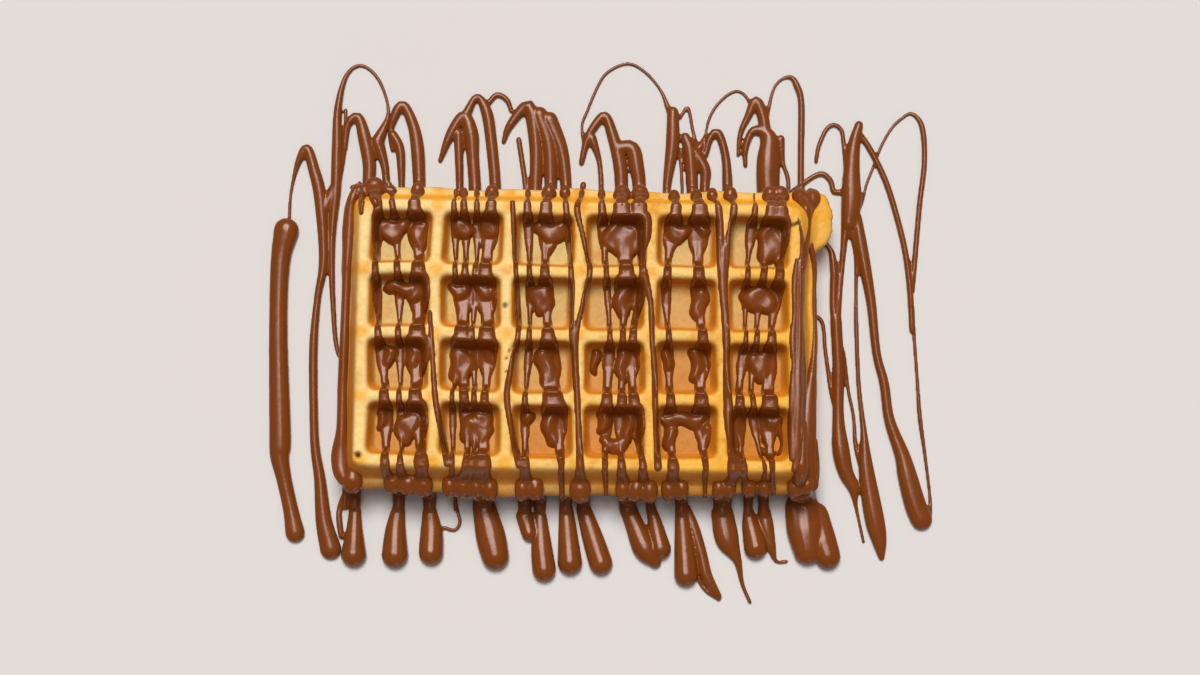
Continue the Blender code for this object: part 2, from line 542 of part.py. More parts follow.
def main():
    clear_scene()
    materials = [material("baked_waffle", BAKED_COLOR, BAKED_ROUGHNESS),
                 material("milk_chocolate", CHOCOLATE_COLOR, CHOCOLATE_ROUGHNESS)]
    waffle = waffle_body(materials)
    cutter = pocket_cutters(materials)
    apply_boolean(waffle, "DIFFERENCE", cutter, "EXACT")
    bpy.data.objects.remove(cutter)
    poured = chocolate(materials)
    apply_boolean(waffle, "UNION", poured, "MANIFOLD")
    for piece in list(poured.objects):
        bpy.data.objects.remove(piece)
    bpy.data.collections.remove(poured)
    keep_one_body(waffle)
    thin_out(waffle, MOST_TRIANGLES)


main()
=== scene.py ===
"""A waffle of six by four deep pockets with melted milk chocolate poured back and forth over it.

The baked waffle and the chocolate beside it are made with Geometry Nodes, and the chocolate that lies over
the ridges and in the pockets is a height field. Lengths in the tables are in millimetres.
"""

import math
import random

import bmesh
import bpy
import numpy as np
from mathutils import Matrix, Vector


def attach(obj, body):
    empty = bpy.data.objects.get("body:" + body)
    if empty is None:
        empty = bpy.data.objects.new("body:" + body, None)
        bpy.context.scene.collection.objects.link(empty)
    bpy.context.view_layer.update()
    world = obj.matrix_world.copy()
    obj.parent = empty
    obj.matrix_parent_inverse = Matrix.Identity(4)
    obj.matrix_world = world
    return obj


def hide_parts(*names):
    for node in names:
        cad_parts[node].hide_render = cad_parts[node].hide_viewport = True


bl_info = {
    "name": "Chocolate Waffle",
    "version": (1, 0, 0),
    "blender": (4, 5, 0),
    "location": "View3D > Sidebar > Waffle",
    "description": "Makes a deep-pocket waffle with melted milk chocolate poured over it",
    "category": "Add Mesh",
}

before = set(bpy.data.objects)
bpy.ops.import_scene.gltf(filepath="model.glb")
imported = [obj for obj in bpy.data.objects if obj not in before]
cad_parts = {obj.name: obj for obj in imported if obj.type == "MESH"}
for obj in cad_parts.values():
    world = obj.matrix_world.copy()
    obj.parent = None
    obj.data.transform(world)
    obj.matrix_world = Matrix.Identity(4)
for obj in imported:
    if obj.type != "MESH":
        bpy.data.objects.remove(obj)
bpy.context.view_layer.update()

MM = 0.001
NODE = "waffle"
BODY = "root"

# The waffle: its pockets, the slope round them, the lip with its rounded rim, and the sheet's fineness
COLUMNS = 6
ROWS = 4
SHOULDER = 0.9
WALL_SPAN = 3.5
POCKET_CORNER = 3.4
SLOPE_RUN = 3.5
UPPER_CREASE = 17.4
LOWER_CREASE = 11.6
LIP_FALL = 0.22
RIM = 2.1
RIM_MIDDLE = 14.4
FRONT_REACH = 2.6
CORNER_POWER = 22.0
SEED = 4.0
GRID_STEP = 0.7
LINE_CROWDING = 0.35
WELD = 0.01

# The flap at the right back corner: its middle, half its length and how far it reaches, on both sides
FLAP_RIGHT = (49.0, 12.0, 5.4)
FLAP_BACK = (90.0, 7.0, 2.6)

# Bubbles and pores that show as small dark hollows, their dark insides painted shade: x, y, radius, depth
HOLLOWS = [
    (-83.2, -47.2, 1.2, 4.0), (-54.4, -16.6, 0.9, 0.7), (-55.0, -8.2, 0.7, 0.6), (-28.3, 11.0, 1.1, 1.0),
    (-26.5, -6.3, 0.6, 0.6), (-27.5, -9.3, 0.7, 0.6), (-27.4, -14.3, 0.6, 0.5), (91.5, -14.3, 1.1, 1.4),
    (80.4, 43.6, 0.8, 0.6), (81.6, 43.9, 0.8, 0.8), (82.8, 44.3, 0.8, 0.8), (83.9, 44.8, 0.8, 0.7),
    (73.5, -37.2, 1.9, 3.2), (71.8, -38.6, 1.3, 1.8),
]

# Where strands cross the waffle: (x, half width) at the back lip, the five crests and the front lip
CROSSINGS = [
    [(-80.5, 4.4), (-78.1, 1.9), (-78.3, 1.4), (-76.5, 1.5), (-73.6, 2.1), (-72.9, 1.9), (-70.6, 2.7)],
    [(-73.5, 1.5), (-72.4, 1.5), (-69.9, 1.5), (-68.9, 1.3), (-67.9, 1.2), (-66.9, 1.3), (-66.0, 2.7)],
    [(-63.4, 2.7), (-63.9, 2.7), (-61.8, 2.9), (-61.6, 3.5), (-61.8, 2.7), (-58.9, 2.9), (-59.1, 3.8)],
    [(-48.6, 1.0), (-48.6, 1.2), (-47.7, 1.2), (-46.0, 1.2), (-47.8, 1.0), (-47.2, 1.2), (-48.4, 1.5)],
    [(-45.5, 1.7), (-44.8, 1.5), (-43.9, 1.5), (-44.5, 3.3), (-43.2, 1.9), (-41.9, 1.5), (-46.5, 3.1)],
    [(-40.4, 1.2), (-39.8, 1.2), (-40.0, 1.2), (-40.7, 1.2), (-39.4, 1.2), (-39.6, 1.2), (-41.5, 2.3)],
    [(-34.6, 2.7), (-34.4, 2.3), (-36.2, 2.9), (-35.0, 3.3), (-35.4, 1.7), (-35.8, 3.5), (-35.4, 4.2)],
    [(-20.6, 1.2), (-20.4, 1.7), (-19.2, 1.2), (-18.9, 1.2), (-20.0, 1.3), (-19.6, 1.9), (-18.9, 3.5)],
    [(-12.4, 2.9), (-13.3, 2.5), (-13.3, 1.9), (-11.7, 2.7), (-9.4, 4.2), (-5.9, 1.3), (-5.5, 1.5)],
    [(-6.2, 2.1), (-5.6, 1.3), (-3.3, 1.2), (-2.6, 1.2), (-0.3, 1.3), (1.3, 1.7), (1.4, 3.1)],
    [(8.0, 1.5), (8.2, 1.7), (10.2, 1.2), (11.9, 1.2), (11.1, 2.3), (10.7, 1.3), (11.4, 1.2)],
    [(16.0, 3.5), (15.8, 3.5), (17.9, 3.1), (16.9, 1.3), (16.8, 1.9), (17.0, 1.7), (19.0, 3.5)],
    [(23.0, 3.5), (22.4, 3.5), (24.2, 1.5), (20.7, 1.7), (21.4, 2.3), (25.1, 1.5), (26.7, 2.7)],
    [(36.2, 2.3), (36.6, 2.3), (33.6, 1.7), (34.4, 1.3), (35.4, 1.9), (36.5, 2.3), (37.4, 3.8)],
    [(44.8, 2.3), (45.8, 3.3), (45.6, 2.3), (47.4, 2.1), (47.0, 2.9), (48.8, 1.3), (49.3, 1.2)],
    [(51.0, 2.1), (53.1, 1.5), (54.4, 1.9), (56.1, 1.5), (56.7, 1.5), (60.3, 2.3), (57.4, 3.1)],
    [(58.0, 2.7), (58.8, 1.5), (55.2, 1.9), (56.5, 1.5), (57.5, 1.5), (58.8, 1.9), (58.9, 2.3)],
    [(67.3, 0.6), (66.9, 1.3), (64.4, 1.2), (63.8, 1.0), (61.7, 1.9), (63.4, 1.3), (65.8, 2.3)],
    [(73.6, 3.2), (73.6, 2.7), (70.5, 1.5), (68.0, 1.2), (66.6, 1.3), (71.3, 0.9), (71.9, 1.9)],
    [(77.6, 3.4), (77.6, 2.7), (76.6, 1.9), (73.7, 1.9), (73.1, 3.3), (74.3, 1.2), (75.8, 1.2)],
]

# Strands that run along a ridge: lists of (x, y, half width)
RIDGE_STRANDS = [
    [(-57.0, 8, 0.9), (-56.3, 0, 1.1), (-54.2, -24, 1.2), (-51.5, -38, 1.2), (-49.1, -50, 1.3)],
    [(-26.2, 51, 1.1), (-25.2, 36, 1.1), (-24.4, 24, 1.0), (-23.6, 12, 1.2), (-23.1, 0, 1.1),
     (-25.4, -12, 1.1), (-26.9, -24, 1.3), (-24.6, -38, 1.2), (-21.8, -50, 1.5)],
    [(-1.2, 51, 1.2), (-1.2, 47, 1.3), (1.6, 36, 1.1), (3.9, 25, 1.2), (1.4, 12, 1.1), (-1.0, 0, 1.2),
     (-0.6, -12, 1.0), (0.1, -24, 1.1), (0.6, -38, 1.2), (1.2, -50, 1.2)],
    [(25.0, 25, 1.1), (27.4, 12, 1.2), (27.9, 0, 1.2), (29.0, -12, 1.3), (29.4, -24, 1.3), (30.2, -38, 1.3),
     (30.8, -50, 1.6)],
    [(-84.6, 50, 1.4), (-84.2, 46, 1.0)],
    [(83.4, 47, 0.3), (84.6, 42, 0.7), (85.4, 35, 1.1), (85.0, 28, 1.4), (85.1, 18, 1.8), (84.6, 8, 1.5),
     (84.8, -2, 1.9), (84.2, -12, 1.5), (84.0, -22, 1.8), (83.4, -34, 1.4), (83.2, -50, 1.6)],
    [(83.0, 30, 0.9), (82.2, 20, 1.3), (82.3, 10, 1.0), (81.7, 0, 1.5), (82.0, -10, 1.1), (81.5, -22, 1.4),
     (81.1, -34, 1.0), (81.6, -46, 1.3)],
    [(84.6, 8, 0.3), (85.7, 0, 0.6), (86.4, -9, 0.9), (86.2, -20, 1.3), (86.3, -32, 1.2), (85.8, -46, 1.5)],
]

# Strands and thick coats on the slope and the lip: lists of (x, y, half width)
BORDER_RUNS = [
    [(-86.8, 58.2, 1.8), (-89.0, 51, 2.3), (-89.5, 42, 2.9), (-89.7, 33, 2.5), (-90.0, 25, 2.0),
     (-90.2, 10, 1.8), (-90.3, -5, 2.0), (-90.5, -20, 2.1), (-90.3, -36, 2.3), (-90.6, -46, 3.7),
     (-90.0, -53, 3.4), (-87.8, -56.6, 2.6)],
    [(-89.0, 58.0, 1.2), (-85.4, 57.0, 2.0), (-80.6, 56.4, 2.7), (-76.4, 57.0, 1.8), (-72.5, 56.4, 1.3)],
    [(-82.8, 60.4, 1.2), (-81.0, 57.0, 2.2), (-79.6, 52.0, 1.9), (-78.4, 49.2, 1.6)],
    [(-86.5, 60.0, 1.0), (-85.4, 57.0, 1.6), (-84.6, 53.0, 1.3), (-84.4, 49.5, 1.1)],
    [(0.9, 61.0, 1.3), (0.2, 56.0, 1.2), (-1.2, 50.0, 1.2)],
    [(84.6, 59.4, 2.2), (85.0, 57.2, 3.3), (86.6, 53.0, 2.4), (87.4, 49.0, 2.0)],
    [(89.6, 59.0, 2.0), (90.2, 56.6, 3.3), (88.8, 52.4, 2.4), (87.6, 48.0, 2.0)],
    [(88.0, 56.0, 2.6), (87.6, 50, 2.1), (87.4, 43, 1.8), (86.4, 35, 1.8), (85.0, 27, 1.7)],
    [(87.4, 45, 1.4), (88.8, 39, 1.4), (90.4, 33, 1.3), (90.9, 27, 1.2), (90.9, 20, 1.0), (91.1, 5, 1.2),
     (90.7, -6, 1.4), (89.6, -15, 2.3), (88.4, -24, 3.4), (87.9, -36, 3.8), (88.0, -46, 3.9),
     (88.6, -53, 3.4), (87.4, -57, 2.6)],
    [(86.2, -32, 1.4), (85.6, -42, 2.2), (85.2, -50, 2.8), (84.4, -56.5, 2.6)],
    [(91.4, -38, 1.2), (91.3, -48, 2.1), (90.4, -55.5, 2.4)],
]

# Thick chocolate that gathered on the front lip and hangs over its edge: left, right and how far it hangs
FRONT_MASSES = [
    (-90.5, -84.0, 1.9), (-73.3, -55.3, 2.2), (-51.0, -30.4, 2.4), (-23.1, -13.1, 1.7), (-2.4, 5.3, 1.5),
    (15.2, 30.6, 2.1), (32.9, 42.8, 1.7), (52.4, 60.5, 1.7), (63.5, 68.5, 1.2), (69.7, 74.0, 1.2),
    (81.5, 92.6, 2.6),
]

# A pool in a pocket: column, row from the back, then left, right, front and back in halves of the floor
POOLS = [
    (0, 0, -1.1, 0.35, -0.15, 1.1), (0, 0, 0.25, 1.1, -0.45, 1.1), (1, 0, -1.0, 0.02, 0.0, 1.1),
    (1, 0, 0.12, 1.0, 0.0, 1.1), (2, 0, -0.5, 1.1, -0.1, 1.1), (2, 0, 0.0, 0.45, -0.6, 0.2),
    (3, 0, -0.6, 1.1, -0.85, 1.1), (4, 0, -1.0, 0.15, 0.0, 1.1), (4, 0, 0.2, 0.9, 0.35, 1.1),
    (5, 0, -0.1, 1.1, -0.95, 1.1), (0, 1, -0.8, 0.6, 0.3, 1.1), (0, 1, 0.2, 1.1, -0.1, 1.1),
    (1, 1, -1.0, 0.0, 0.2, 1.1), (1, 1, 0.05, 1.0, 0.2, 1.1), (2, 1, -0.6, 0.5, -0.5, 1.1),
    (3, 1, -0.1, 0.7, -0.7, 1.1), (4, 1, 0.1, 0.9, -0.6, 1.1), (5, 1, -0.7, 0.8, -0.3, 1.1),
    (0, 2, -0.7, -0.1, -0.1, 1.1), (0, 2, 0.2, 0.9, -0.2, 1.1), (1, 2, -0.9, 0.15, -0.95, 0.95),
    (1, 2, 0.4, 0.95, 0.1, 1.1), (2, 2, -0.3, 0.55, -0.9, 1.1), (3, 2, 0.0, 0.6, -0.6, 1.1),
    (3, 2, -1.0, -0.5, -0.3, 1.1), (4, 2, 0.1, 0.7, -0.7, 1.1), (4, 2, -1.0, -0.45, -0.2, 1.1),
    (5, 2, -0.4, 0.6, -0.5, 1.1), (0, 3, -0.2, 0.9, -0.7, 0.9), (0, 3, -0.9, -0.4, 0.0, 1.1),
    (1, 3, -0.5, 0.9, -0.8, 0.7), (1, 3, 0.1, 1.0, 0.0, 1.1), (2, 3, 0.0, 0.7, -0.8, 0.9),
    (2, 3, -0.9, -0.2, 0.2, 1.1), (3, 3, -0.5, 0.7, -0.95, -0.1), (3, 3, 0.3, 0.9, -0.6, 1.1),
    (3, 3, -0.7, -0.1, -0.2, 1.1), (4, 3, -1.1, 1.0, 0.25, 1.1), (4, 3, -0.9, -0.3, -0.7, 0.5),
    (4, 3, 0.5, 1.1, -0.9, 0.5), (5, 3, -1.0, -0.45, -0.6, 1.1), (5, 3, 0.2, 1.1, 0.25, 1.1),
    (5, 3, 0.78, 1.1, -0.95, 0.7), (5, 3, 0.0, 0.85, -1.0, -0.55),
]

# Chocolate that lies flat beside the waffle: lists of (x, y, half width)
LEFT_STRANDS = [
    [(-116, 43, 5.1), (-118, 30, 3.9), (-118, 3, 3.7), (-116, -38, 4.3), (-116, -46, 3.8), (-114, -55, 3.1),
     (-111, -67, 3.1), (-109, -76, 3.9)],
    [(-115, 46, 0.7), (-115, 55, 0.7), (-114, 63, 0.8), (-112, 71, 1.4), (-109, 76, 2.0), (-106, 68, 2.4),
     (-103, 56, 2.6), (-101, 32, 2.0), (-103, 16, 1.5), (-104, -4, 1.8), (-103, -32, 1.8), (-102, -44, 2.0),
     (-100, -55, 2.4), (-98, -71, 3.3), (-95, -82, 4.3)],
    [(-81, 79, 2.8), (-77, 91, 0.9), (-81, 104, 0.8), (-88, 110, 0.8), (-94, 106, 1.0), (-97, 93, 1.6),
     (-97, 76, 2.2), (-97, 60, 2.2), (-98, 40, 1.6), (-97, 16, 1.2), (-94, -6, 1.0), (-86, -8, 1.0)],
    [(-94, 92, 0.8), (-94, 76, 0.9), (-96, 62, 1.2)],
    [(-98, 60, 2.0), (-101, 52, 2.2)],
]
BACK_LOOPS = [
    [(-94, 76, 1.2), (-93, 86, 1.6), (-89, 89, 2.0), (-86, 80, 2.8), (-84, 70, 2.8), (-84, 61, 2.6),
     (-83, 50, 2.4)],
    [(-81, 79, 2.8), (-78, 70, 1.8), (-77, 62, 1.6), (-76, 50, 1.6)],
    [(-75, 76, 1.0), (-76, 83, 1.2), (-74, 91, 2.0), (-71, 94, 2.0), (-67, 86, 2.4), (-65, 76, 2.8),
     (-64, 61, 2.6), (-64, 50, 2.6)],
    [(-75, 82, 2.0), (-72, 76, 2.0), (-71, 61, 1.4), (-71, 50, 1.4)],
    [(-56, 72, 1.0), (-52, 83, 2.0), (-47, 90, 2.4), (-44, 83, 3.1), (-43, 73, 2.6), (-42, 61, 2.6),
     (-42, 50, 2.6)],
    [(-49, 83, 2.0), (-48, 61, 1.6), (-48, 50, 1.6)],
    [(-46, 91, 2.0), (-42, 98, 1.4), (-38, 92, 2.4), (-36, 81, 2.4), (-34, 63, 2.4), (-34, 50, 2.4)],
    [(-37, 96, 1.2), (-34, 99, 1.2), (-30, 97, 1.2), (-28, 92, 1.0)],
    [(-31, 80, 1.0), (-29, 86, 1.6), (-23, 94, 2.4), (-20, 92, 3.1), (-18, 77, 2.8), (-18, 62, 2.6),
     (-18, 50, 2.6)],
    [(-17, 91, 3.5), (-13, 79, 3.1), (-12, 63, 2.6), (-12, 50, 2.6)],
    [(-13, 89, 3.5), (-8, 77, 2.8), (-6, 63, 2.4), (-6, 50, 2.4)],
    [(-25, 81, 1.2), (-22, 62, 1.2), (-22, 50, 1.2)],
    [(1, 78, 0.8), (0, 87, 0.7), (2, 93, 0.7), (6, 103, 0.7), (10, 109, 0.7), (18, 112.5, 0.7),
     (25, 109, 0.7), (31, 102, 0.7), (34, 95, 1.2), (36, 90, 1.6)],
    [(0, 72, 1.2), (2, 81, 1.6), (5, 87, 1.8), (9, 91, 2.0), (12, 84, 2.4), (15, 73, 2.8), (16, 63, 2.8),
     (16, 50, 2.8)],
    [(4, 82, 2.0), (7, 73, 1.2), (8, 62, 1.2), (8, 50, 1.2)],
    [(14, 78, 2.8), (20, 78, 3.1), (22, 70, 3.1), (23, 63, 2.8), (23, 50, 2.8)],
    [(36, 93, 2.4), (36, 80, 2.8), (34, 63, 1.8), (34, 50, 1.8)],
    [(39, 78, 0.8), (40, 63, 0.8), (40, 50, 0.8)],
    [(39, 91, 0.8), (42, 95, 0.8), (44, 86, 0.8), (46, 78, 1.0)],
    [(41, 83, 2.0), (43, 77, 2.8), (44, 63, 2.4), (44, 50, 2.4)],
    [(45, 77, 2.4), (49, 70, 2.4), (49, 63, 2.0), (49, 50, 2.0)],
    [(49, 76, 1.4), (51, 83, 1.6), (54, 85, 1.8), (57, 76, 1.8), (58, 63, 2.2), (58, 50, 2.2)],
    [(47, 79, 1.6), (49, 84, 0.7), (50, 89, 0.7), (52, 94, 0.7), (56, 99, 0.7), (61, 102, 0.7),
     (65, 100, 0.7), (68, 94, 0.9)],
    [(62, 76, 0.8), (63, 85, 1.2), (66, 92, 1.6), (69, 98, 2.2), (72, 91, 2.4), (73, 82, 2.4),
     (73, 78, 2.8)],
    [(65, 72, 1.0), (65, 79, 1.4), (68, 86, 1.8), (74, 84, 3.1), (74, 74, 4.7), (74, 64, 4.7),
     (75, 50, 4.6)],
    [(79, 83, 1.6), (80, 73, 1.0), (82, 66, 1.0), (82, 50, 1.0)],
    [(73, 90, 1.2), (74, 95, 0.9), (76, 103, 0.7), (79, 107, 0.7), (83, 108, 1.0), (85, 105, 1.4),
     (87, 98, 1.4), (87, 79, 1.4), (87, 66, 1.4), (87, 50, 1.4)],
]
RIGHT_STRANDS = [
    [(93, 74, 0.9), (94, 80, 1.0), (97, 87, 1.0), (100, 89, 1.0), (103, 87, 1.0), (104, 81, 1.0),
     (105, 70, 1.1)],
    [(84, 62, 1.2), (92, 68, 1.1), (96, 69, 1.2), (99, 66, 1.2), (100, 62, 1.2), (103, 62, 1.2),
     (106, 62, 1.2)],
    [(110, 89, 1.8), (108, 81, 2.6), (107, 69, 3.5), (107, 58, 4.1), (106, 49, 3.2)],
    [(105, 52, 2.0), (104, 40, 1.4), (103, 28, 1.2), (102, 17, 1.4), (101, 7, 2.0)],
    [(109, 52, 2.2), (111, 40, 2.6), (113, 29, 2.4), (115, 17, 2.0), (117, -2, 1.8), (120, -14, 2.0),
     (122, -28, 2.2), (127, -42, 3.1), (129, -50, 3.9), (132, -61, 4.3), (134.5, -67, 4.3)],
    [(107, 48, 1.6), (109, 37, 1.2), (109, 23, 0.8), (109, 11, 1.0), (110, -14, 1.0), (112, -33, 1.4),
     (113, -48, 3.1), (116, -66, 3.9), (118, -75, 3.1), (119, -82, 1.3)],
    [(86, 44, 1.2), (97, 41, 1.0), (100, 33, 1.6), (100, 17, 1.6), (101, 8, 1.8)],
    [(101, 11, 2.4), (102, -8, 2.4), (102, -27, 2.4), (103, -40, 3.5), (105, -49, 3.1), (108, -55, 2.4),
     (109, -62, 0.9), (112, -76, 0.7)],
    [(86, 12, 0.9), (95, 11, 0.9), (97, -2, 0.9), (99, -16, 1.0), (101, -24, 1.2)],
    [(102, 2, 0.9), (104, -2, 0.9), (106, -17, 0.8), (108, -27, 0.8), (109, -39, 1.0), (112, -50, 1.2)],
    [(130, 25, 1.2), (131, 17, 1.0), (132, 2, 0.8), (133, -12, 0.8), (134, -27, 1.0), (136, -42, 0.8),
     (138, -60, 0.8), (137, -68, 1.6)],
    [(109, 87, 1.3), (114, 80, 1.3), (120, 68, 1.3), (124, 56, 1.3), (128, 40, 1.3), (130, 25, 1.3),
     (131, 7, 1.2)],
    [(108, 52, 0.8), (111, 57, 0.7), (113, 65, 0.7), (116, 73, 0.7), (119, 81, 0.7), (123, 88, 0.7),
     (127, 92, 0.7), (131, 94, 0.8), (135, 89, 1.2), (136, 75, 1.2), (134, 57, 1.2), (132, 34, 1.2),
     (131, 23, 1.2)],
]
FRONT_DROPS = [
    [(-86, -66, 2.4), (-86, -74, 3.3), (-86, -84, 5.1)],
    [(-90, -60, 1.2), (-92, -66, 1.2), (-92, -71, 1.3), (-91, -77, 1.2)],
    [(-69, -65, 2.5), (-70, -74, 4.1), (-70, -84, 5.3)],
    [(-57, -66, 2.8), (-56, -75, 4.5), (-56, -83, 4.9)],
    [(-47, -62, 0.8), (-46, -67, 0.8), (-45, -71, 0.8), (-47, -74, 0.8), (-51, -73, 0.8)],
    [(-36, -64, 4.6), (-33, -76, 5.9), (-31, -84, 5.5)],
    [(-20, -68, 3.5), (-18, -75, 3.1)],
    [(-14, -68, 2.8), (-13, -81, 4.3), (-12, -89, 4.7)],
    [(-4, -64, 2.8), (-3, -75, 3.9), (-2, -86, 4.9)],
    [(3, -65, 3.1), (7, -77, 4.3), (10, -86, 4.7)],
    [(20, -64, 3.5), (23, -71, 3.9), (27, -80, 4.7), (31, -85, 2.6)],
    [(29, -63, 1.8), (31, -71, 3.1), (33, -80, 4.3)],
    [(41, -64, 2.6), (42, -76, 3.7), (43, -90, 4.7)],
    [(43, -64, 1.8), (46, -72, 2.4), (49, -82, 2.4), (51, -90, 2.4), (56, -98, 1.2)],
    [(45, -86, 0.9), (50, -95, 0.8), (56, -99, 0.9)],
    [(57, -66, 4.6), (59, -76, 4.7), (63, -84, 1.8), (65, -93, 0.9), (68, -100, 0.8)],
    [(67, -64, 2.0), (68, -70, 3.5), (70, -79, 4.7)],
    [(73, -63, 2.4), (74, -70, 3.1), (76, -78, 2.0), (78, -84, 0.8), (82, -84, 0.8)],
    [(88, -63, 6.9), (89, -72, 7.1), (90, -80, 5.5)],
    [(93, -66, 5.5), (96, -76, 5.5), (98, -82, 5.1)],
]

# Runs that hang from the lip to the board: x at the lip, x at the board, half width
FRONT_DRIPS = [
    (-88, -86, 2.4), (-91, -90, 1.2), (-69, -69, 2.6), (-58, -57, 2.8), (-47, -47, 0.9), (-37, -36, 4.2),
    (-20, -20, 2.8), (-14, -14, 2.6), (-3, -4, 2.6), (2, 3, 2.6), (20, 20, 3.4), (28, 29, 1.9),
    (40, 41, 2.6), (56, 57, 3.8), (66, 67, 2.0), (72, 73, 2.2), (86, 88, 5.6),
]
BACK_DRIPS = [
    (-81, -83, 2.2), (-73, -76, 1.4), (-64, -64, 2.4), (-45, -42, 2.0), (-34, -34, 2.2), (-20, -18, 1.4),
    (-12, -12, 2.8), (-6, -6, 2.0), (8, 8, 1.2), (16, 16, 3.0), (23, 23, 3.0), (36, 34, 1.8), (45, 44, 2.2),
    (51, 49, 1.8), (58, 58, 2.2), (73, 74, 3.8), (88, 87, 1.8),
]

# Chocolate over the waffle: where strands end, swell and split, the pools, and the grid that it is made on
STRAND_SHARE = 0.94
BACK_LIP = 5.4
FRONT_LIP = 6.6
ALWAYS_SPLITS = 1.9
MAY_SPLIT = 1.35
SPLIT_CHANCE = 0.6
THINNEST = 0.5
POUR_SEED = 7
FIELD_STEP = 0.46
FIELD_BOTTOM = 14.4
POOL_DEPTH = 2.2
POOL_EDGE = 3.2
POOL_SUNK = 0.9
POOL_TAPER = 0.45
WALL_GAP = 1.6
FIELD_MARGIN_X = 4.0
FIELD_MARGIN_Y = 5.0
SHEET_EDGE = -0.75
CLIMB = 2.0
STRAND_MARGIN = 4.0
FAR_BELOW = -9.0
FACES_DOWN = -0.999
LEVEL_ANGLE = 0.001

# A thread beside a strand that splits: share of the way to the next crest, and how far it moves aside
THREAD_COURSE = ((0.45, 0.5), (0.6, 0.85), (0.75, 1.0), (0.9, 1.0), (1.0, 0.75))

# A run that hangs: share of the way from lip to board, how far past the edge, height and swelling
DRIP_COURSE = ((0.0, -3.6, 14.6, 0.6), (0.0, -2.2, 13.4, 0.8), (0.0, -1.4, 11.4, 0.9), (0.4, -1.0, 8.0, 0.8),
               (1.0, -0.6, 4.4, 0.85), (1.0, 0.6, 1.6, 1.0))
DRIP_END_HEIGHT = 1.1
DRIP_END_SWELL = 0.9
BACK_MEETING = 4.2
FRONT_MEETING = 66.5

# A strand over the back lip: how far out from the pockets, and its swelling. Its blob sinks towards the rim
BACK_COURSE = ((-0.6, 0.6), (0.8, 0.7), (2.2, 0.6), (3.3, 0.75), (4.3, 1.05), (5.4, 1.12), (6.3, 0.95))
BLOB_LEVEL = 4.5
BLOB_FALL = 0.12

# A finger of chocolate down the front slope: its stations, where it starts and ends, and how wide it is
FINGER_SHARES = (0.0, 0.15, 0.3, 0.45, 0.6, 0.75, 0.88, 1.0)
FINGER_START = -1.0
FINGER_SPACE = 1.6
FINGER_START_HALF = 1.3
FINGER_WIDEST = 2.1
SHORT_OF_RIM = 2.6
THIN_STRAND = 1.6
LIP_SEED = 11

# A lobe on the front lip: how far out from the pockets, its swelling and how far it sags
LOBE_COURSE = ((2.6, 0.7, 0.5), (3.8, 0.95, 0.25), (5.0, 1.0, 0.0), (5.9, 0.97, 0.3), (6.7, 0.88, 1.7),
               (7.0, 0.75, 3.4))
LOBE_SPACE = 5.2
LOBE_RISE = 0.7
EDGE_SHARES = (0.0, 0.25, 0.5, 0.75, 1.0)
EDGE_HEIGHT = 14.9

# Chocolate as swept strands, fused by a voxel remesh
BOARD_GAP = 0.15
SWEEP_SIDES = 14
END_ANGLES = (25, 45, 62, 76, 86)
DROP_SWELLING = 0.7
TALLEST_HALF = 2.2
VOXEL = 0.44
STRAND_ROUNDS = 6
COAT_VOXEL = 0.38
COAT_ROUNDS = 14

# The lights: where each stands, seen from the waffle
KEY_TOWARD = (-0.07, 0.47, 1.0)
TOP_TOWARD = (-0.04, 0.13, 1.0)
TOP_SOFTNESS = 0.4
FRONT_TOWARD = (0.3, -1.0, 0.22)
LIGHT_COLOR = (1.0, 0.985, 0.97)
SURROUND_COLOR = (0.98, 0.965, 0.96, 1.0)
FLOOR_HALF = 4.0
FLOOR_SHADE = 0.97

# The camera, from a fit to the crossings of the ridges
CAMERA_PLACE = (0.0, -0.1081, 0.9215)
CAMERA_TILT = 6.9
CAMERA_ROLL = 0.90
SENSOR_WIDTH = 36.0
FOCAL_LENGTH = 70.83
SHIFT_X = 0.01775
SHIFT_Y = -0.00225


class Wire:
    """An output of a node. Python's operators on wires and numbers add Math nodes to the tree."""

    def __init__(self, nodes, socket):
        self.nodes = nodes
        self.socket = socket

    def math(self, operation, *values):
        return self.nodes.add("ShaderNodeMath", {"operation": operation}, dict(enumerate(values)))

    def __add__(self, other):
        return self.math("ADD", self, other)

    __radd__ = __add__

    def __sub__(self, other):
        return self.math("SUBTRACT", self, other)

    def __rsub__(self, other):
        return self.math("SUBTRACT", other, self)

    def __mul__(self, other):
        return self.math("MULTIPLY", self, other)

    __rmul__ = __mul__

    def __truediv__(self, other):
        return self.math("DIVIDE", self, other)

    def __rtruediv__(self, other):
        return self.math("DIVIDE", other, self)

    def __neg__(self):
        return self.math("MULTIPLY", self, -1.0)


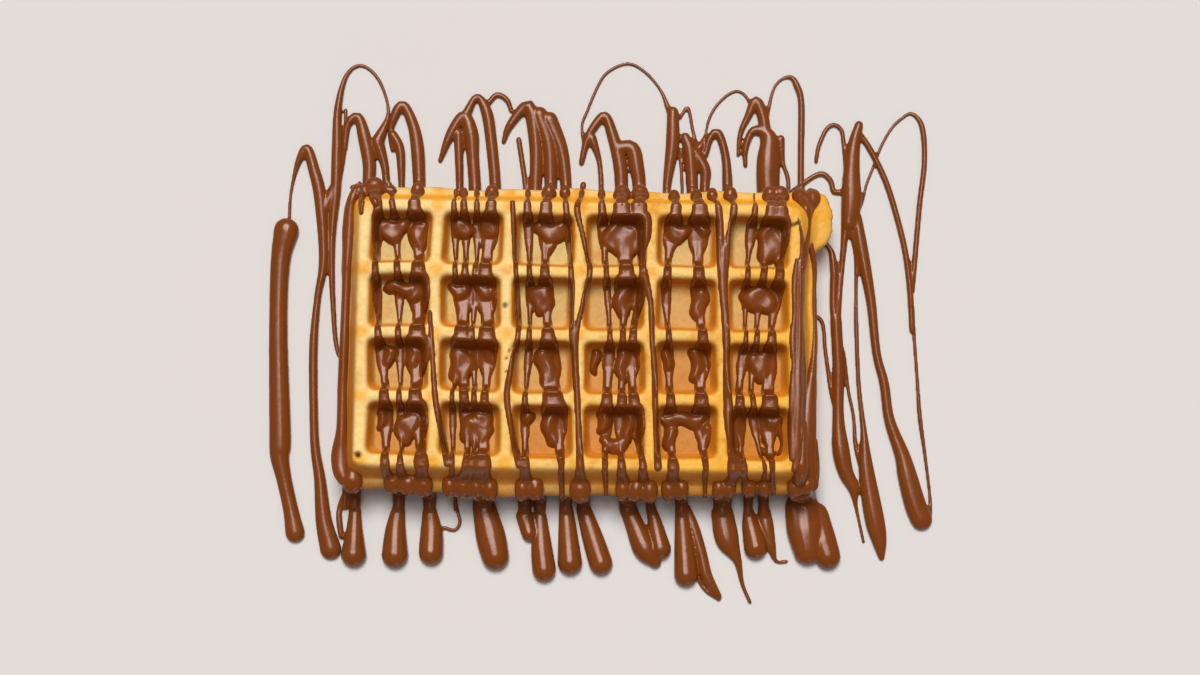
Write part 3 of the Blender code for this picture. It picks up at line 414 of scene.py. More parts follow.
class Nodes:
    """A node tree that is being wired."""

    def __init__(self, tree):
        self.tree = tree
        tree.nodes.clear()

    def add(self, kind, settings=None, sockets=None, out=0):
        """Adds a node, sets its settings and feeds its sockets, and gives back one of its outputs."""
        node = self.tree.nodes.new(kind)
        for name, value in (settings or {}).items():
            if name == "stops":
                while len(node.color_ramp.elements) < len(value):
                    node.color_ramp.elements.new(0.5)
                for element, (place, color) in zip(node.color_ramp.elements, value):
                    element.position = place
                    element.color = color
            else:
                setattr(node, name, value)
        for key, value in (sockets or {}).items():
            for one in value if isinstance(value, list) else [value]:
                if isinstance(one, Wire):
                    self.tree.links.new(one.socket, node.inputs[key])
                else:
                    node.inputs[key].default_value = one
        return Wire(self, node.outputs[out]) if len(node.outputs) else node

    def mix(self, factor, low, high, blend="MIX"):
        """A mix of two colours."""
        sockets = {0: factor, 6: low, 7: high}
        return self.add("ShaderNodeMix", {"data_type": "RGBA", "blend_type": blend}, sockets, out=2)

    def split(self, vector):
        """The three parts of a vector."""
        first = self.add("ShaderNodeSeparateXYZ", None, {0: vector})
        return [Wire(self, output) for output in first.socket.node.outputs]

    def noise(self, vector, scale, detail=2.0, roughness=0.5):
        """Cloudy noise from 0 to 1."""
        sockets = {"Vector": vector, "Scale": scale, "Detail": detail, "Roughness": roughness}
        return self.add("ShaderNodeTexNoise", None, sockets)

    def attribute(self, name):
        """A value that the piece's own mesh carries, in a material."""
        return self.add("ShaderNodeAttribute", {"attribute_name": name}, out=2)


def both(operation, function):
    """One name for a Math node's operation and for the same function of numbers and arrays."""
    def work(*values):
        wire = next((value for value in values if isinstance(value, Wire)), None)
        return function(*values) if wire is None else wire.math(operation, *values)
    return work


lesser = both("MINIMUM", np.minimum)
greater = both("MAXIMUM", np.maximum)
absolute = both("ABSOLUTE", np.abs)
whole = both("FLOOR", np.floor)
sine = both("SINE", np.sin)
cosine = both("COSINE", np.cos)
root = both("SQRT", np.sqrt)
exponent = both("EXPONENT", np.exp)
power = both("POWER", np.power)


def limited(value):
    """A value kept from 0 to 1."""
    return lesser(greater(value, 0.0), 1.0)


def eased(value):
    """From 0 to 1 with a slow start and a slow end."""
    value = limited(value)
    return value * value * (3.0 - 2.0 * value)


def soft_lesser(first, second, blend):
    """The lesser of two, with the corner between them rounded."""
    near = greater(blend - absolute(first - second), 0.0) / blend
    return lesser(first, second) - near * near * blend / 4.0


def soft_greater(first, second, blend):
    """The greater of two, with the corner between them rounded."""
    near = greater(blend - absolute(first - second), 0.0) / blend
    return greater(first, second) + near * near * blend / 4.0


class Relief:
    """The waffle's upper face as a formula in millimetres, for arrays and wires alike."""

    def __init__(self, pitch_x, pitch_y, ridge, thickness, pocket_depth, lip_reach):
        self.pitch_x = pitch_x
        self.pitch_y = pitch_y
        self.ridge = ridge
        self.thickness = thickness
        self.pocket_depth = pocket_depth
        self.lip_reach = lip_reach
        self.half_x = (pitch_x * COLUMNS + ridge) / 2.0
        self.half_y = (pitch_y * ROWS + ridge) / 2.0

    def cell(self, place, pitch, count):
        """The number of a pocket along one axis, and the distance from its middle."""
        number = whole(lesser(greater(place / pitch + count / 2.0, 0.0), count - 0.001))
        return number, place - (number + (0.5 - count / 2.0)) * pitch

    def sway(self, x, y):
        """Small wanderings of the ridges, as risen batter leaves them."""
        along = x + 0.35 * sine(y / 15.0 + 0.7) + 0.2 * sine(y / 6.1 + x / 23.0)
        across = y + 0.3 * sine(x / 17.0 + 2.1) + 0.2 * sine(x / 7.3 + y / 19.0)
        return along, across

    def depth(self, x, y, coat):
        """How deep in a pocket a place is, from 0 on the ridges to 1 on the floor."""
        x, y = self.sway(x, y)
        into_x = (self.pitch_x - self.ridge) / 2.0 - coat - absolute(self.cell(x, self.pitch_x, COLUMNS)[1])
        into_y = (self.pitch_y - self.ridge) / 2.0 - coat - absolute(self.cell(y, self.pitch_y, ROWS)[1])
        return eased((soft_lesser(into_x, into_y, POCKET_CORNER) + SHOULDER) / WALL_SPAN)

    def beyond(self, x, y):
        """How far outside the field of pockets a place is."""
        return soft_greater(absolute(x) - self.half_x, absolute(y) - self.half_y, 4.0)

    def near_rim(self, x, y, coat=0.0):
        """0 on the lip and 1 at its outer edge, or at the edge of a coat on it."""
        outside = greater(absolute(x) - self.half_x, absolute(y) - self.half_y)
        return limited((outside - self.lip_reach + RIM) / (coat + RIM))

    def edge_fall(self, beyond, crease):
        """The fall from the top to the lip."""
        slope = eased((beyond + 0.9) / (SLOPE_RUN + 1.8))
        return (self.thickness - crease) * slope + LIP_FALL * greater(beyond - SLOPE_RUN, 0.0)

    def height(self, x, y, coat=0.0):
        """The height of the upper face, or of a coat of chocolate on it."""
        swell = 0.35 * sine(x / 21.0 + 1.0) * sine(y / 17.0 + 0.4) + 0.15 * sine(x / 8.0 + y / 9.0)
        fall = self.edge_fall(self.beyond(x, y) - coat, UPPER_CREASE)
        return self.thickness + swell - self.pocket_depth * self.depth(x, y, coat) - fall

    def plan(self, x, y):
        """Where a place on the sheet ends up: corners tucked in, the lip wavy, and a flap at one corner."""
        across = absolute(x) / (self.half_x + self.lip_reach)
        along = absolute(y) / (self.half_y + self.lip_reach)
        inner = greater(across, along)
        outer = power(across, CORNER_POWER) + power(along, CORNER_POWER) + 1e-9
        outer = power(outer, 1.0 / CORNER_POWER)
        tuck = 1.0 + (inner / greater(outer, 0.01) - 1.0) * power(lesser(inner, 1.0), 10.0)
        share_x = eased((absolute(x) - self.half_x) / self.lip_reach)
        share_y = eased((absolute(y) - self.half_y) / self.lip_reach)
        wave_x = 1.0 + share_x * (0.006 * sine(y / 9.0 + x / 40.0) + 0.004 * sine(y / 3.7 + 1.0))
        wave_y = 1.0 + share_y * (0.008 * sine(x / 11.0 + y / 30.0) + 0.006 * sine(x / 4.3 + 2.0))
        ragged = 1.0 + 0.04 * sine(y * 0.9) + 0.025 * sine(y * 2.3 + 1.0)
        middle, half, reach = FLAP_RIGHT
        bump = exponent(-power((y - middle) / half, 8.0))
        flap_x = eased((x - self.half_x) / self.lip_reach) * bump * reach * ragged
        middle, half, reach = FLAP_BACK
        bump = exponent(-power((x - middle) / half, 6.0))
        flap_y = eased((y - self.half_y) / self.lip_reach) * bump * reach
        bow = 0.6 + 0.4 * cosine((x + 8.0) / 30.0)
        front = eased((-y - self.half_y) / self.lip_reach) * FRONT_REACH * bow
        return x * tuck * wave_x + flap_x, y * tuck * wave_y + flap_y - front


def read_sizes(context):
    """The relief in millimetres, from the panel's values."""
    chosen = context.scene.waffle_sizes
    names = ("pitch_x", "pitch_y", "ridge", "thickness", "pocket_depth", "lip_reach")
    return Relief(*(getattr(chosen, name) / MM for name in names))


def new_tree(name, inputs):
    """A Geometry Nodes tree with named inputs (name, socket type): its nodes and a wire for each input."""
    tree = bpy.data.node_groups.new(name, "GeometryNodeTree")
    nodes = Nodes(tree)
    tree.interface.new_socket("Geometry", in_out="OUTPUT", socket_type="NodeSocketGeometry")
    for label, kind in inputs:
        tree.interface.new_socket(label, in_out="INPUT", socket_type=kind)
    entry = tree.nodes.new("NodeGroupInput")
    return nodes, {label: Wire(nodes, entry.outputs[label]) for label, _ in inputs}


def finish_tree(nodes, geometry, material):
    """Ends a tree with realized geometry that carries its material."""
    realized = nodes.add("GeometryNodeRealizeInstances", None, {0: geometry})
    painted = nodes.add("GeometryNodeSetMaterial", None, {"Geometry": realized, "Material": material})
    exit_node = nodes.tree.nodes.new("NodeGroupOutput")
    nodes.tree.links.new(painted.socket, exit_node.inputs[0])
    return nodes.tree


def run_tree(piece, tree, values):
    """Runs a tree on an object with the values of its named inputs, and keeps the result as a plain mesh."""
    step = piece.modifiers.new(tree.name, "NODES")
    step.node_group = tree
    for item in tree.interface.items_tree:
        if item.in_out == "INPUT" and item.name in values:
            step[item.identifier] = values[item.name]
    apply_modifiers(piece)


def apply_modifiers(piece):
    """Makes the evaluated mesh the piece's own and removes the modifiers."""
    bpy.context.view_layer.update()
    evaluated = piece.evaluated_get(bpy.context.evaluated_depsgraph_get())
    mesh = bpy.data.meshes.new_from_object(evaluated)
    if not len(mesh.polygons):
        raise RuntimeError(f"{piece.name} came out empty")
    piece.modifiers.clear()
    piece.data = mesh
    mesh.name = piece.name


def new_object(name, mesh):
    """Links a new object at the origin."""
    piece = bpy.data.objects.new(name, mesh)
    bpy.context.scene.collection.objects.link(piece)
    return piece


def hand_over(piece):
    """Hangs a finished piece on the body's empty and hides the CAD part that it replaces."""
    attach(piece, BODY)
    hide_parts(NODE)


def waffle_tree(material):
    """The baked waffle: two sheets, bent to the upper and the lower face and joined at the rim."""
    names = ["Pitch X", "Pitch Y", "Ridge", "Thickness", "Pocket Depth", "Lip Reach", "Unevenness"]
    inputs = [("Geometry", "NodeSocketGeometry")] + [(name, "NodeSocketFloat") for name in names]
    inputs += [("Lines X", "NodeSocketInt"), ("Lines Y", "NodeSocketInt"), ("Seed", "NodeSocketFloat"),
               ("Crust", "NodeSocketMaterial")]
    nodes, given = new_tree("baked_waffle", inputs)
    relief = Relief(*(given[name] / MM for name in names[:6]))
    reach_x = relief.half_x + relief.lip_reach
    reach_y = relief.half_y + relief.lip_reach
    sheet = nodes.add("GeometryNodeMeshGrid", None, {
        "Size X": reach_x * 2.0, "Size Y": reach_y * 2.0,
        "Vertices X": given["Lines X"], "Vertices Y": given["Lines Y"],
    })
    x, y, _ = nodes.split(nodes.add("GeometryNodeInputPosition"))
    x = crowded(x, relief.pitch_x, COLUMNS)
    y = crowded(y, relief.pitch_y, ROWS)
    beyond = relief.beyond(x, y)
    over = relief.near_rim(x, y)
    round_off = root(greater(1.0 - over * over, 0.0))
    place = nodes.add("ShaderNodeCombineXYZ", None, {0: x, 1: y, 2: given["Seed"]})
    broad = nodes.noise(place, 0.06, 2.0) - 0.5
    fine = nodes.noise(place, 0.35, 3.0, 0.6) - 0.5
    lumps = nodes.noise(place, 0.16, 2.0, 0.5) - 0.5
    rough = (broad * 0.9 + lumps * 0.9 + fine * 0.5) * given["Unevenness"] / MM

    hollow = 0.0
    # pit marks the bubbles and pores, whose insides the crust material fills with painted shade
    pit = 0.0
    for hole_x, hole_y, radius, deep in HOLLOWS:
        away = ((x - hole_x) * (x - hole_x) + (y - hole_y) * (y - hole_y)) / (radius * radius)
        well = exponent(-(away * away))
        hollow = well * deep + hollow
        pit = greater(well, pit)

    upper = relief.height(x, y) + rough * (1.0 - over) - hollow
    upper = RIM_MIDDLE + (upper - RIM_MIDDLE) * round_off
    lower = relief.pocket_depth * relief.depth(x, -y, 0.0) + LOWER_CREASE * eased((beyond + 0.3) / SLOPE_RUN)
    lower = greater(lower + absolute(rough) * 0.4, 0.0)
    lower = RIM_MIDDLE + (lower - RIM_MIDDLE) * round_off

    final_x, final_y = relief.plan(x, y)

    depth = relief.depth(x, y, 0.0)
    column, off_x = relief.cell(x, relief.pitch_x, COLUMNS)
    row, off_y = relief.cell(y, relief.pitch_y, ROWS)
    near_x = absolute(off_x) / relief.pitch_x * 2.0
    near_y = absolute(off_y) / relief.pitch_y * 2.0
    crossing = eased((near_x - 0.7) / 0.25) * eased((near_y - 0.7) / 0.25)
    pocket = nodes.add("ShaderNodeCombineXYZ", None, {0: column, 1: row, 2: 3.0})
    tone = nodes.add("ShaderNodeTexWhiteNoise", None, {"Vector": pocket})
    slope = eased((beyond + 0.6) / 2.0) * (1.0 - eased((beyond - SLOPE_RUN + 0.2) / 1.6))
    # back marks the pockets' back walls, which the crust material paints with shade, as they face away from
    # the key light
    back = eased((off_y / relief.pitch_y - 0.22) / 0.14) * (1.0 - eased((beyond + 2.0) / 2.0))
    carried = {"depth": depth, "crossing": crossing, "tone": tone, "slope": slope, "back": back,
               "lip": eased((beyond - SLOPE_RUN) / 2.0), "pit": pit}

    faces = []
    for side, z in (("upper", upper), ("lower", lower)):
        spot = nodes.add("ShaderNodeCombineXYZ", None, {0: final_x * MM, 1: final_y * MM, 2: z * MM})
        part = sheet
        for name, value in carried.items():
            part = nodes.add("GeometryNodeStoreNamedAttribute", {"data_type": "FLOAT", "domain": "POINT"},
                             {"Geometry": part, "Name": name, "Value": value})
        part = nodes.add("GeometryNodeSetPosition", None, {"Geometry": part, "Position": spot})
        if side == "lower":
            part = nodes.add("GeometryNodeFlipFaces", None, {"Mesh": part})
        faces.append(part)
    skin = nodes.add("GeometryNodeJoinGeometry", None, {"Geometry": faces})
    skin = nodes.add("GeometryNodeMergeByDistance", None, {"Geometry": skin, "Distance": WELD * MM})
    skin = nodes.add("GeometryNodeSetShadeSmooth", None, {"Geometry": skin})
    return finish_tree(nodes, skin, given["Crust"])


def crowded(place, pitch, count):
    """Moves the lines of a sheet closer together on the walls of the pockets."""
    swing = sine(place * (6.0 * math.pi) / pitch) * pitch * (LINE_CROWDING / (6.0 * math.pi))
    inside = absolute(place) - pitch * (count / 2.0)
    within = lesser(greater(-inside * 1000.0, 0.0), 1.0)
    return place + swing * within


def crust_material(colors):
    """Baked crust: pale on top, browner on the walls, tan on the floors, with fine pores, and painted shade
    and light.
    """
    made = bpy.data.materials.new("baked_crust")
    made.use_nodes = True
    nodes = Nodes(made.node_tree)
    spot = nodes.add("ShaderNodeTexCoord", out=3)
    x, y, _ = nodes.split(spot)
    depth = nodes.attribute("depth")
    crossing = nodes.attribute("crossing")
    tone = nodes.attribute("tone")
    slope = nodes.attribute("slope")
    lip = nodes.attribute("lip")
    pit = nodes.attribute("pit")
    back = nodes.attribute("back")
    broad = nodes.noise(spot, 28.0, 3.0, 0.55)
    mottled = nodes.noise(spot, 130.0, 4.0, 0.6)
    speckle = nodes.noise(spot, 620.0, 3.0, 0.6)
    toward = limited(0.5 + x * 5.0 - y * 2.6 + (broad - 0.5) * 1.5)

    crest = nodes.mix(toward, colors["crest_pale"], colors["crest_golden"])
    crest = nodes.mix(limited(crossing * (0.35 + 0.9 * broad)), crest, colors["crossing"])
    browner = limited(0.45 + x * 1.5 - y * 10.0 + (tone - 0.5) * 0.35)
    floor = nodes.mix(browner, colors["floor_pale"], colors["floor_golden"])
    base = nodes.mix(eased((depth - 0.55) / 0.4), crest, floor)
    wall = 1.0 - absolute(2.0 * depth - 0.95)
    wall = limited(eased(wall * 1.5) * (0.75 + 0.5 * mottled))
    # Painted shade: the back walls get a darker copy of the wall colour, as they face away from the key
    # light
    base = nodes.mix(wall, base, nodes.mix(back, colors["wall"], colors["wall_back"]))
    # Painted light and shade: the mask below is high at the front, where the slope and lip face away from
    # the key light, and also towards the left. It brings in the dark slope and lip colours there. sunny
    # brings in the bright back slope colour where the back slope faces the key light
    front_shade_and_left = limited(0.25 - y * 14.0) + limited(-x * 20.0 - 1.0) * 0.6
    sunny = limited(y * 40.0 - 1.0)
    sloped = nodes.mix(sunny, colors["slope"], colors["band"])
    base = nodes.mix(limited(slope * (0.35 + 0.3 * broad + 0.5 * greater(front_shade_and_left, sunny))), base, sloped)
    # The dark lip colour is partly the seam where the plates met and partly painted shade. The shade is
    # stronger at the front lip, which faces away from the key light
    base = nodes.mix(limited(lip * (0.3 + mottled) * limited(0.15 + front_shade_and_left)), base, colors["lip"])
    flap = lip * limited(x * 60.0 - 5.0) * (0.1 + 0.9 * mottled)
    base = nodes.mix(limited(flap), base, colors["band"])
    patchy = eased((mottled - 0.5) / 0.2) * (0.3 + 0.35 * toward)
    base = nodes.mix(limited(patchy), base, colors["toasted"])
    shaded = nodes.mix(1.0, base, (0.80, 0.70, 0.55, 1.0), "MULTIPLY")
    base = nodes.mix(limited((speckle - 0.42) * 1.6), base, shaded)
    # Painted shade: the insides of the bubbles and pores are nearly black
    base = nodes.mix(limited(pit * 0.92), base, colors["burnt"])

    pores = nodes.add("ShaderNodeTexVoronoi", {"feature": "F1"}, {"Vector": spot, "Scale": 420.0})
    pore = 1.0 - eased((pores - 0.1) / 0.22)
    some = eased((nodes.noise(spot, 90.0, 2.0) - 0.5) / 0.18)
    relief = mottled * 0.5 + speckle * 0.35 - pore * some * 0.5
    bump = nodes.add("ShaderNodeBump", None, {"Strength": 0.55, "Distance": 0.00045, "Height": relief})
    shader = nodes.add("ShaderNodeBsdfPrincipled", None, {
        "Base Color": base, "Roughness": 0.5 + 0.25 * speckle - 0.08 * crossing, "Normal": bump,
        "Specular IOR Level": 0.2,
    })
    nodes.add("ShaderNodeOutputMaterial", None, {"Surface": shader})
    return made


def chocolate_material(colors):
    """Melted milk chocolate: glossy, with slow changes of colour and gloss."""
    made = bpy.data.materials.new("milk_chocolate_gloss")
    made.use_nodes = True
    nodes = Nodes(made.node_tree)
    spot = nodes.add("ShaderNodeTexCoord", out=3)
    slow = nodes.noise(spot, 45.0, 2.0)
    streaks = nodes.noise(spot, 190.0, 3.0, 0.55)
    fine = nodes.noise(spot, 900.0, 2.0)
    base = nodes.mix(limited(0.15 + 0.7 * slow), colors["chocolate_dark"], colors["chocolate_light"])
    relief = streaks * 0.7 + fine * 0.12
    bump = nodes.add("ShaderNodeBump", None, {"Strength": 0.18, "Distance": 0.0006, "Height": relief})
    shader = nodes.add("ShaderNodeBsdfPrincipled", None, {
        "Base Color": base, "Roughness": 0.17 + 0.16 * streaks, "Normal": bump,
        "IOR": 1.42, "Specular IOR Level": 0.5, "Specular Tint": (1.0, 0.80, 0.74, 1.0),
    })
    nodes.add("ShaderNodeOutputMaterial", None, {"Surface": shader})
    return made


def shared_material(name, maker, context):
    """A material that several pieces use, made once with the panel's colours."""
    if name in bpy.data.materials:
        return bpy.data.materials[name]
    chosen = context.scene.waffle_colors
    return maker({key: tuple(getattr(chosen, key)) + (1.0,) for key in COLORS})


def smooth_path(points, step):
    """A smooth curve through points of equal length, as rows of an array."""
    rows = np.array(points, dtype=float)
    padded = np.vstack([2 * rows[0] - rows[1], rows, 2 * rows[-1] - rows[-2]])
    path = []
    for before, start, end, after in zip(padded, padded[1:], padded[2:], padded[3:]):
        pieces = max(1, round(float(np.linalg.norm(end - start)) / step))
        for t in np.arange(pieces) / pieces:
            slope = (end - before) * t + (2 * before - 5 * start + 4 * end - after) * t ** 2
            path.append(start + (slope + (3 * start - 3 * end + after - before) * t ** 3) / 2)
    return np.array(path + [rows[-1]])


def bead_height(half_width):
    """How thick a strand stands over a ridge."""
    return lesser(1.0 * half_width, 0.55 + 0.16 * half_width)


def lay_strand(field, xs, ys, path):
    """Adds one strand to the field of thickness, blended softly with what is there."""
    own = np.full(field.shape, FAR_BELOW)
    for (ax, ay, aw), (bx, by, bw) in zip(path, path[1:]):
        margin = max(aw, bw) + STRAND_MARGIN
        left, right = np.searchsorted(xs, (min(ax, bx) - margin, max(ax, bx) + margin))
        low, high = np.searchsorted(ys, (min(ay, by) - margin, max(ay, by) + margin))
        if left == right or low == high:
            continue
        gx = xs[None, left:right]
        gy = ys[low:high, None]
        span = max(1e-6, (bx - ax) ** 2 + (by - ay) ** 2)
        t = np.clip(((gx - ax) * (bx - ax) + (gy - ay) * (by - ay)) / span, 0.0, 1.0)
        away = np.hypot(gx - ax - t * (bx - ax), gy - ay - t * (by - ay))
        half = aw + (bw - aw) * t
        tall = bead_height(half)
        share = away / half
        # The section of a strand: level in the middle and steep at its edge
        inside = tall * (1.4 * np.sqrt(np.maximum(0.0, 1.0 - 0.92 * np.minimum(share, 1.0) ** 4)) - 0.4)
        outside = -5.0 * tall / half * (away - half)
        bead = np.where(share < 1.0, inside, np.maximum(outside, FAR_BELOW))
        window = own[low:high, left:right]
        np.maximum(window, bead, out=window)
    return soft_greater(field, own, 0.9)


def crossing_path(values, relief, chance):
    """One strand from lip to lip: wide on the crests and behind them, thin where it climbs to the next."""
    crests = [(ROWS / 2 - k) * relief.pitch_y for k in range(ROWS + 1)]
    places = [relief.half_y + BACK_LIP] + crests + [-relief.half_y - FRONT_LIP]
    xs = [value[0] for value in values]
    halves = [value[1] * STRAND_SHARE for value in values]
    known = smooth_path([(x, y, half) for x, y, half in zip(xs, places, halves)], 2.0)
    order = np.argsort(known[:, 1])

    def at(y):
        x = float(np.interp(y, known[order, 1], known[order, 0]))
        half = float(np.interp(y, known[order, 1], known[order, 2]))
        return x, half

    def pocketed(x):
        room = (relief.pitch_x - relief.ridge) / 2 + 0.5 - abs(relief.cell(x, relief.pitch_x, COLUMNS)[1])
        return float(eased(room / 3.0))

    stations = [(relief.half_y + 0.8, 0.75), (relief.half_y - 0.6, 0.95)]
    threads = []
    for k, crest in enumerate(crests):
        stations += [(crest + 1.2, 1.0), (crest - 1.4, 1.05)]
        if k == ROWS:
            continue
        x, half = at(crest - relief.pitch_y / 2)
        wide = min(1.35 + 0.4 * chance.random(), max(1.1, 4.6 / half))
        splits = half > ALWAYS_SPLITS or (half > MAY_SPLIT and chance.random() < SPLIT_CHANCE)
        tail = 0.5 if splits else 0.8 + 0.1 * chance.random()
        pinch = 0.5 if splits else 0.66 + 0.25 * chance.random()
        held = pocketed(x)
        course = ((0.1, 1.2), (0.17, wide), (0.28, wide), (0.42, wide), (0.56, 1.1), (0.7, tail),
                  (0.8, pinch), (0.88, pinch))
        for share, swell in course:
            stations.append((crest - share * relief.pitch_y, 1.0 + (swell - 1.0) * held))
        if splits:
            for side in (-1.0, 1.0):
                offset = side * (0.5 + 0.12 * chance.random())
                thin = max(0.55, 0.3 * half * (0.8 + 0.4 * chance.random()))
                thread = []
                for share, reach in THREAD_COURSE:
                    y = crest - share * relief.pitch_y
                    x, thread_half = at(y)
                    thread.append((x + offset * reach * thread_half, y, thin))
                threads.append(smooth_path(thread, 1.2))
    stations += [(-relief.half_y + 0.6, 1.0), (-relief.half_y - 0.8, 0.85)]
    path = []
    for y, swell in stations:
        x, half = at(y)
        path.append((x, y, max(THINNEST, half * swell)))
    return [smooth_path(path, 1.4)] + threads


def pool_surface(relief, gx, gy, column, row, left, right, front, back):
    """The height of a level pool on a pocket's floor, with a soft brim and a wavering edge."""
    middle_x = (column - (COLUMNS - 1) / 2) * relief.pitch_x
    middle_y = ((ROWS - 1) / 2 - row) * relief.pitch_y
    reach_x = (relief.pitch_x - relief.ridge) / 2 - WALL_GAP
    reach_y = (relief.pitch_y - relief.ridge) / 2 - WALL_GAP
    x = gx - middle_x - reach_x * (left + right) / 2 + 0.8 * np.sin(gy / 1.9 + column * 2.0 + row)
    y = gy - middle_y - reach_y * (front + back) / 2 + 0.9 * np.sin(gx / 1.7 + row * 3.0 + column)
    half_x = reach_x * (right - left) / 2
    half_y = reach_y * (back - front) / 2
    x = x * (1.0 + POOL_TAPER * np.clip(-y / half_y, 0.0, 1.0))
    corner = 0.95 * min(half_x, half_y)
    out_x = np.abs(x) - half_x + corner
    out_y = np.abs(y) - half_y + corner
    distance = np.hypot(np.maximum(out_x, 0.0), np.maximum(out_y, 0.0))
    distance = distance + np.minimum(np.maximum(out_x, out_y), 0.0)
    inside = np.clip((corner - distance) / POOL_EDGE, 0.0, 1.0)
    brim = np.sqrt(1.0 - (1.0 - inside) ** 2)
    bottom = relief.thickness - relief.pocket_depth - POOL_SUNK
    waves = 0.22 * np.sin(gx / 1.5 + row) * np.sin(gy / 1.8 + column) + 0.05 * (gy - middle_y)
    level = bottom + (POOL_DEPTH + POOL_SUNK) * brim + waves * inside
    return np.where(distance < corner, level, bottom - 1.2 * (distance - corner))


def field_mesh(name, gx, gy, top, keep, material):
    """A closed mesh over the kept cells of a height field, with a level bottom inside the waffle."""
    rows, columns = keep.shape
    used = np.zeros(top.shape, dtype=bool)
    for down in (0, 1):
        for along in (0, 1):
            used[down:rows + down, along:columns + along] |= keep
    number = np.full(top.shape, -1)
    number[used] = np.arange(np.count_nonzero(used))
    upper = np.column_stack([gx[used], gy[used], top[used]])
    lower = np.column_stack([gx[used], gy[used], np.full(len(upper), FIELD_BOTTOM)])
    count = len(upper)
    low, left = np.nonzero(keep)
    a = number[low, left]
    b = number[low, left + 1]
    c = number[low + 1, left + 1]
    d = number[low + 1, left]
    faces = [np.column_stack([a, b, c, d]), np.column_stack([d, c, b, a]) + count]
    padded = np.pad(keep, 1)
    inner = padded[1:-1, 1:-1]
    borders = ((a, b, padded[:-2, 1:-1]), (b, c, padded[1:-1, 2:]),
               (c, d, padded[2:, 1:-1]), (d, a, padded[1:-1, :-2]))
    for start, end, beside in borders:
        open_side = (inner & ~beside)[low, left]
        first, second = start[open_side], end[open_side]
        faces.append(np.column_stack([second, first, first + count, second + count]))
    mesh = bpy.data.meshes.new(name)
    mesh.from_pydata((np.vstack([upper, lower]) * MM).tolist(), [], np.vstack(faces).tolist())
    body = bmesh.new()
    body.from_mesh(mesh)
    bmesh.ops.split_edges(body, edges=[edge for edge in body.edges if len(edge.link_faces) > 2])
    body.verts.ensure_lookup_table()
    body.verts.index_update()
    inside = [edge for edge in body.edges if len(edge.link_faces) == 2
              and all(face.normal.z < FACES_DOWN for face in edge.link_faces)]
    numbers = sorted({vert.index for edge in inside for vert in edge.verts})
    corners = [body.verts[number] for number in numbers]
    bmesh.ops.dissolve_limit(body, angle_limit=LEVEL_ANGLE, verts=corners, edges=inside)
    bmesh.ops.triangulate(body, faces=[face for face in body.faces if len(face.verts) > 4])
    body.to_mesh(mesh)
    body.free()
    mesh.polygons.foreach_set("use_smooth", [True] * len(mesh.polygons))
    mesh.materials.append(material)
    return mesh


def poured_field(relief):
    """Where the field's points are, the chocolate's height and how far it stands proud of the waffle."""
    reach_x = relief.half_x + relief.lip_reach + FIELD_MARGIN_X
    reach_y = relief.half_y + relief.lip_reach + FIELD_MARGIN_Y
    xs = np.linspace(-reach_x, reach_x, round(2 * reach_x / FIELD_STEP))
    ys = np.linspace(-reach_y, reach_y, round(2 * reach_y / FIELD_STEP))
    xs = crowded(xs, relief.pitch_x, COLUMNS)
    ys = crowded(ys, relief.pitch_y, ROWS)
    chance = random.Random(POUR_SEED)
    field = np.full((len(ys), len(xs)), FAR_BELOW)
    for values in CROSSINGS:
        for path in crossing_path(values, relief, chance):
            field = lay_strand(field, xs, ys, path)
    for points in RIDGE_STRANDS:
        field = lay_strand(field, xs, ys, smooth_path(points, 1.4))
    gx, gy = np.meshgrid(xs, ys)
    bare = relief.height(gx, gy)
    share = 0.5 - relief.cell(gy, relief.pitch_y, ROWS)[1] / relief.pitch_y
    rising = limited((share - 0.45) / 0.37)
    ending = eased((0.97 - share) / 0.12)
    pocketed = relief.depth(gx, np.full(gx.shape, relief.pitch_y / 2.0), 0.0)
    climb = CLIMB * rising * ending * pocketed
    coat = relief.height(gx, gy, np.clip(field, -1.2, 1.6) * 0.8) + field
    coat = coat + climb * np.clip(field / 0.6, 0.0, 1.0)
    level = np.full(field.shape, FAR_BELOW)
    for pool in POOLS:
        level = soft_greater(level, pool_surface(relief, gx, gy, *pool), 0.8)
    top = soft_greater(coat, level, 1.1)
    over = relief.near_rim(gx, gy, np.clip(field, 0.0, 1.6))
    top = FIELD_BOTTOM + (top - FIELD_BOTTOM) * np.sqrt(1.0 - over ** 2)
    proud = np.maximum(field, level - bare)
    proud[over >= 1.0] = FAR_BELOW
    spread_x, spread_y = relief.plan(gx, gy)
    return spread_x, spread_y, np.maximum(top, FIELD_BOTTOM + 0.05), proud


def strand_height(half_width):
    """How high a strand of set chocolate stands on a flat board."""
    return min(1.3 * half_width, 1.1 + 0.6 * half_width)


def flat_stations(points, swelling=0.0):
    """Stations of a strand on the board: x, y, z of its middle, half width and how much it is flattened."""
    stations = []
    path = smooth_path(points, 1.5)
    for k, (x, y, half) in enumerate(path):
        tall = strand_height(half) * (1.0 + swelling * (k / len(path) - 0.4))
        stations.append((x, y, BOARD_GAP + 0.34 * tall, half, 0.66 * tall / half))
    return stations


def round_ends(stations, start=True, end=True):
    """Adds shrinking stations, so that a strand ends like a drop."""
    ends = []
    for wanted, tip, inner in ((start, stations[0], stations[1]), (end, stations[-1], stations[-2])):
        added = []
        if wanted:
            along = Vector(tip[:3]) - Vector(inner[:3])
            along.normalize()
            for angle in END_ANGLES:
                ahead = tip[3] * math.sin(math.radians(angle)) * 0.95
                shrink = math.cos(math.radians(angle))
                spot = Vector(tip[:3]) + along * ahead
                added.append((*spot, tip[3] * shrink, tip[4]))
        ends.append(added)
    return ends[0][::-1] + stations + ends[1]


